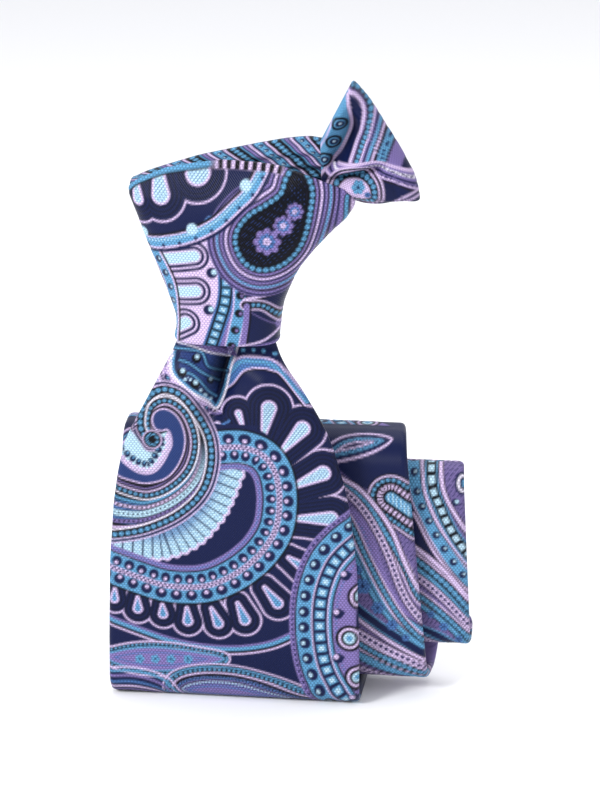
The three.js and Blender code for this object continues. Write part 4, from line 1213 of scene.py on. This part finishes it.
def keeper_piece():
    """The keeper: a strip of the blade's silk pressed flat across its seam side."""
    def place(s, share):
        z = 46 + 11 * share + 0.2 * np.sin(s / 6)
        y = SEAM[4] - 0.35 - 0.12 * np.cos(s / 7)
        return (np.stack(np.broadcast_arrays(s, y, z), -1),
                np.stack(np.broadcast_arrays(0.0, -1.0, 0 * z), -1))

    s = rows_between(-24.0, (20.0, 0.4))
    points = tube(place, s, np.full(s.size, 11.0), ring(spread(11, 0.4), spread(11, 0.4)), 0.7)
    cloth = strand_figure(points[..., 0], points[..., 2] - 44)
    return cloth_mesh("keeper_strip", points, cloth, points[..., [0, 2]])


def thread_piece(name, line, radius):
    """A stitched thread: round rings carried along a line that lies on the cloth."""
    way = np.gradient(line, axis=0)
    way /= np.linalg.norm(way, axis=1)[:, None]
    side = np.cross(way, [0, 1, 0])
    side /= np.linalg.norm(side, axis=1)[:, None]
    rise = np.cross(side, way)
    angle = np.linspace(0, 2 * math.pi, 10, endpoint=False)[None, :, None]
    points = line[:, None] + radius * (np.cos(angle) * side[:, None] + np.sin(angle) * rise[:, None])
    cloth = Cloth(points[..., 0], points[..., 2], STEEL)
    cloth.pile[:] = 1
    run = np.arange(len(line))[:, None] * 0.12 + np.zeros(10)
    return cloth_mesh(name, points, cloth, np.stack([run, 0.3 * angle[..., 0] + 0 * run], -1))


def tack_line(x, y, z, long, tall):
    """Bar tack: a tight zigzag along x."""
    t = np.linspace(0, 1, 241)
    wave = np.arcsin(np.sin(t * 2 * math.pi * 15)) / (math.pi / 2)
    return np.stack([x + long * t, y + 0 * t, z + tall / 2 * wave], -1)


def stitch_line():
    """Slip stitch: a long running thread that dips under the seam at every stitch."""
    t = np.linspace(0, 1, 201)
    wave = np.sin(t * 2 * math.pi * 8)
    return np.stack([5.7 + 0.15 * wave, SEAM[5] + 0.15 - 0.15 * np.cos(t * 32 * math.pi), 40 + 26 * t],
                    -1)


# ---------------------------------------------------------------- finishes


class Value:
    """A shader value that adds a Math node for each operator used on it."""

    def __init__(self, tree, socket):
        self.tree, self.socket = tree, socket

    def math(self, operation, *values):
        node = self.tree.nodes.new("ShaderNodeMath")
        node.operation = operation
        for k, value in enumerate(values):
            if isinstance(value, Value):
                self.tree.links.new(value.socket, node.inputs[k])
            else:
                node.inputs[k].default_value = value
        return Value(self.tree, node.outputs[0])

    def __add__(self, other):
        return self.math("ADD", self, other)

    def __sub__(self, other):
        return self.math("SUBTRACT", self, other)

    def __mul__(self, other):
        return self.math("MULTIPLY", self, other)

    def __truediv__(self, other):
        return self.math("DIVIDE", self, other)

    def __rsub__(self, other):
        return self.math("SUBTRACT", other, self)

    __radd__ = __add__
    __rmul__ = __mul__

    def node(self, kind, settings=None, **sockets):
        """Any other node: its settings first, then values or links for its sockets by name."""
        made = self.tree.nodes.new("ShaderNode" + kind)
        for key, value in (settings or {}).items():
            setattr(made, key, value)
        for key, value in sockets.items():
            socket = made.inputs[int(key[1:])] if key[1:].isdigit() else made.inputs[key.replace("_",
                    " ")]
            if isinstance(value, Value):
                self.tree.links.new(value.socket, socket)
            else:
                socket.default_value = value
        return made


def finish_for(name, roughness, sheen):
    """A new material and the handle that its nodes are made from."""
    material = bpy.data.materials.new(name)
    material.use_nodes = True
    shader = material.node_tree.nodes["Principled BSDF"]
    shader.inputs["Roughness"].default_value = roughness
    shader.inputs["Sheen Weight"].default_value = sheen
    shader.inputs["Specular IOR Level"].default_value = 0.12
    shader.inputs["Sheen Roughness"].default_value = 0.45
    shader.inputs["Sheen Tint"].default_value = (0.9, 0.94, 1.0, 1.0)
    return material, Value(material.node_tree, None), shader


def link(tool, output, socket):
    tool.tree.links.new(output, socket)


def silk(name, depth=1.0):
    """Jacquard silk: satin ground with a fine twill, raised figure of short floating yarns set like
    bricks, small changes of shade, and a bump from both."""
    material, tool, shader = finish_for(name, 0.42, 0.02)
    ink = tool.node("Attribute", {"attribute_name": "ink"})
    pile = Value(tool.tree, tool.node("Attribute", {"attribute_name": "pile"}).outputs["Fac"])
    loom = tool.node("Attribute", {"attribute_name": "loom"})
    axes = tool.node("SeparateXYZ", _0=Value(tool.tree, loom.outputs["Vector"]))
    across, down = (Value(tool.tree, axes.outputs[k]) for k in (0, 1))
    row = tool.math("FLOOR", down / 0.72)
    brick = tool.math("FRACT", across / 1.1 + row * 0.5)
    yarn = tool.math("ABSOLUTE", brick - 0.5) * 2
    weft = tool.math("ABSOLUTE", tool.math("FRACT", down / 0.72) - 0.5) * 2
    float_yarn = (1 - yarn * yarn) * (1 - weft * weft * 0.8)
    twill = tool.math("SINE", (across + down * 0.8) * 8.4) * 0.5 + 0.5
    body = pile * float_yarn + (1 - pile) * twill * 0.35
    cloud = tool.node("TexNoise", {"noise_dimensions": "3D"}, _2=0.11, _3=3.0,
                      _0=Value(tool.tree, loom.outputs["Vector"]))
    shade = 0.5 + body * 0.72 + Value(tool.tree, cloud.outputs[0]) * 0.14
    tint = tool.node("CombineXYZ", _0=shade, _1=shade, _2=shade)
    lit = tool.node("VectorMath", {"operation": "MULTIPLY"}, _0=Value(tool.tree, ink.outputs["Color"]),
                    _1=Value(tool.tree, tint.outputs[0]))
    link(tool, lit.outputs[0], shader.inputs["Base Color"])
    rough = 0.40 + pile * 0.16 - body * 0.06
    link(tool, rough.socket, shader.inputs["Roughness"])
    bump = tool.node("Bump", Strength=0.55 * depth, Distance=0.00025, Height=body)
    link(tool, bump.outputs[0], shader.inputs["Normal"])
    return material


# ---------------------------------------------------------------- camera, light and floor


def look_from(azimuth, elevation, distance, target):
    """A camera on a sphere round the target."""
    a, e = math.radians(azimuth), math.radians(elevation)
    away = Vector((math.sin(a) * math.cos(e), -math.cos(a) * math.cos(e), math.sin(e)))
    data = bpy.data.cameras.new("camera")
    data.sensor_width, data.sensor_fit, data.lens = 36, "AUTO", 36 * distance / 0.245
    camera = bpy.data.objects.new("camera", data)
    camera.location = Vector(target) + away * distance
    camera.rotation_euler = away.to_track_quat("Z", "Y").to_euler()
    bpy.context.collection.objects.link(camera)
    bpy.context.scene.camera = camera


def softbox(name, place, size, power, target):
    """A round area lamp that faces the target."""
    data = bpy.data.lights.new(name, "AREA")
    data.shape, data.size, data.energy = "DISK", size, power
    lamp = bpy.data.objects.new(name, data)
    lamp.location = place
    lamp.rotation_euler = (Vector(place) - Vector(target)).to_track_quat("Z", "Y").to_euler()
    bpy.context.collection.objects.link(lamp)


def floor():
    """The pale floor under the object."""
    mesh = bpy.data.meshes.new("floor")
    size = 4.0
    mesh.from_pydata([(-size, -size, 0), (size, -size, 0), (size, size, 0), (-size, size, 0)], [],
                     [(0, 1, 2, 3)])
    piece = bpy.data.objects.new("floor", mesh)
    material, _, shader = finish_for("white_floor", 0.6, 0.0)
    shader.inputs["Base Color"].default_value = (0.9, 0.9, 0.92, 1)
    mesh.materials.append(material)
    bpy.context.collection.objects.link(piece)


MIDDLE = tuple(shown(np.array([2.4, 0.0, 100.6])))
look_from(6.9, 17.4, 0.9, MIDDLE)
softbox("key", (-0.55, -0.7, 0.65), 0.3, 9, MIDDLE)
softbox("fill", (0.8, -0.6, 0.3), 0.6, 1.5, MIDDLE)
softbox("top", (0.1, 0.3, 1.0), 0.8, 5, MIDDLE)
world = bpy.data.worlds.new("studio")
bpy.context.scene.world = world
world.use_nodes = True
world.node_tree.nodes["Background"].inputs[0].default_value = (0.97, 0.98, 1.0, 1)
world.node_tree.nodes["Background"].inputs[1].default_value = 0.92
bpy.context.scene.view_settings.view_transform = "Standard"
floor()

# ---------------------------------------------------------------- assembly

FINISHES = {slot: silk(slot) for slot in ("blade_silk", "knot_silk", "neck_silk")}
FINISHES["lining"] = silk("lining_cloth", 0.4)
FINISHES["thread"] = silk("thread")


def dress(piece, slot, replaced, flat=None, held="folded"):
    """Finish, slot and replaced nodes of a piece; flat, for cloth its size when laid flat, is not used."""
    piece.data.materials.append(FINISHES[slot])
    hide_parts(*replaced)


def assemble():
    """Make every piece and finish it, and hang each piece other than the blade's folds on its body."""
    fine, coarse = spread(92, 0.5), spread(92, 2.4)
    right = spread(92, 0.5, sparse=0.55)
    ends = [(1, 126.0), (2, 45.0), (3, 40.0), (4, 40.0), (5, 40.0)]
    at = [panel_at(*end) for end in ends] + [END]
    rows = [
        rows_between(at[0], (PANEL_TOP + 7, 0.45), (FOLDS[0], 0.9), (at[1], 0.5)),
        rows_between(at[1], (panel_at(2, HIGH), 0.5), (panel_at(3, HIGH), 0.6), (at[2], 0.5)),
        rows_between(at[2], (panel_at(3, LOW), 0.5), (panel_at(4, LOW), 0.8), (at[3], 2.0)),
        rows_between(at[3], (panel_at(4, HIGH), 2.0), (panel_at(5, HIGH), 0.5), (at[4], 0.5)),
        rows_between(at[4], (panel_at(5, LOW), 0.5), (panel_at(6, LOW), 0.5), (END, 1.0)),
    ]
    turns = [(20.0, 31.5), (31.0, 13.0), (13.0, 26.0), (26.0, 18.5), (18.3, 20.2)]
    for k in range(5):
        piece = blade_piece(f"blade_fold_{k + 1}", rows[k], fine if k < 2 else right, coarse)
        nodes = [f"blade_{part}_{k + 1}" for part in ("shell", "interlining")]
        if k == 4:
            nodes += ["blade_shell_6", "blade_interlining_6"]
        length = (rows[k][-1] - rows[k][0]) / 1000
        width = float(blade_width(rows[k]).mean()) / 1000
        dress(piece, "blade_silk", nodes, (width, length))
        start, end = (tuple(shown(np.array([0.0, y, 20.0]))) for y in turns[k])
        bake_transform(piece)
    tip = [(24, -34, 53), (60.2, 8.2, 10.6)]
    tail_tip = [(17.6, -19.8, -18.2), (33, -35.5, -2.5), (44, -35.5, -2.5)]
    blade_tack = tack_line(2.6, SEAM[5] + 0.3, 36.6, 7, 0.8)
    tail_tack = tack_line(TAIL["x"] - 3, TAIL_SEAM + 0.3, 48.6, 6, 0.8)
    riders = [
        ("knot_and_front", knot_piece(), "knot_silk", ["knot_front_wrap", "knot_back_wrap", "knot_core"],
         (0.15, 0.055)),
        ("knot_and_front", band_piece(), "neck_silk", ["knot_top_band"], (0.018, 0.058)),
        ("neck_wing", wing_piece(), "neck_silk", ["neck_wing_shell", "neck_wing_interlining"],
         (0.033, 0.06)),
        ("knot_and_front", folds_piece(), "neck_silk", ["neck_folds_shell", "neck_folds_interlining"],
         (0.027, 0.17)),
        ("tail", tail_piece(), "blade_silk", ["tail_shell", "tail_interlining"], (0.03, 0.134), "hung"),
        ("panel_6", lining_piece("blade_lining", tip, SEAM[6] - 0.25), "lining", ["blade_tipping"],
         (0.045, 0.036), "laid"),
        ("tail", lining_piece("tail_lining", tail_tip, TAIL_SEAM + 0.25), "lining", ["tail_tipping"],
         (0.025, 0.026), "laid"),
        ("panel_4", keeper_piece(), "blade_silk", ["keeper_loop"], (0.011, 0.044), "laid"),
        ("panel_5", thread_piece("blade_tack_thread", blade_tack, 0.22), "thread", ["blade_bar_tack"]),
        ("tail", thread_piece("tail_tack_thread", tail_tack, 0.22), "thread", ["tail_bar_tack"]),
        ("panel_5", thread_piece("slip_stitch", stitch_line(), 0.16), "thread", ["slip_stitch_thread"]),
    ]
    for body, piece, *look in riders:
        dress(piece, *look)
        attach(piece, body)


assemble()
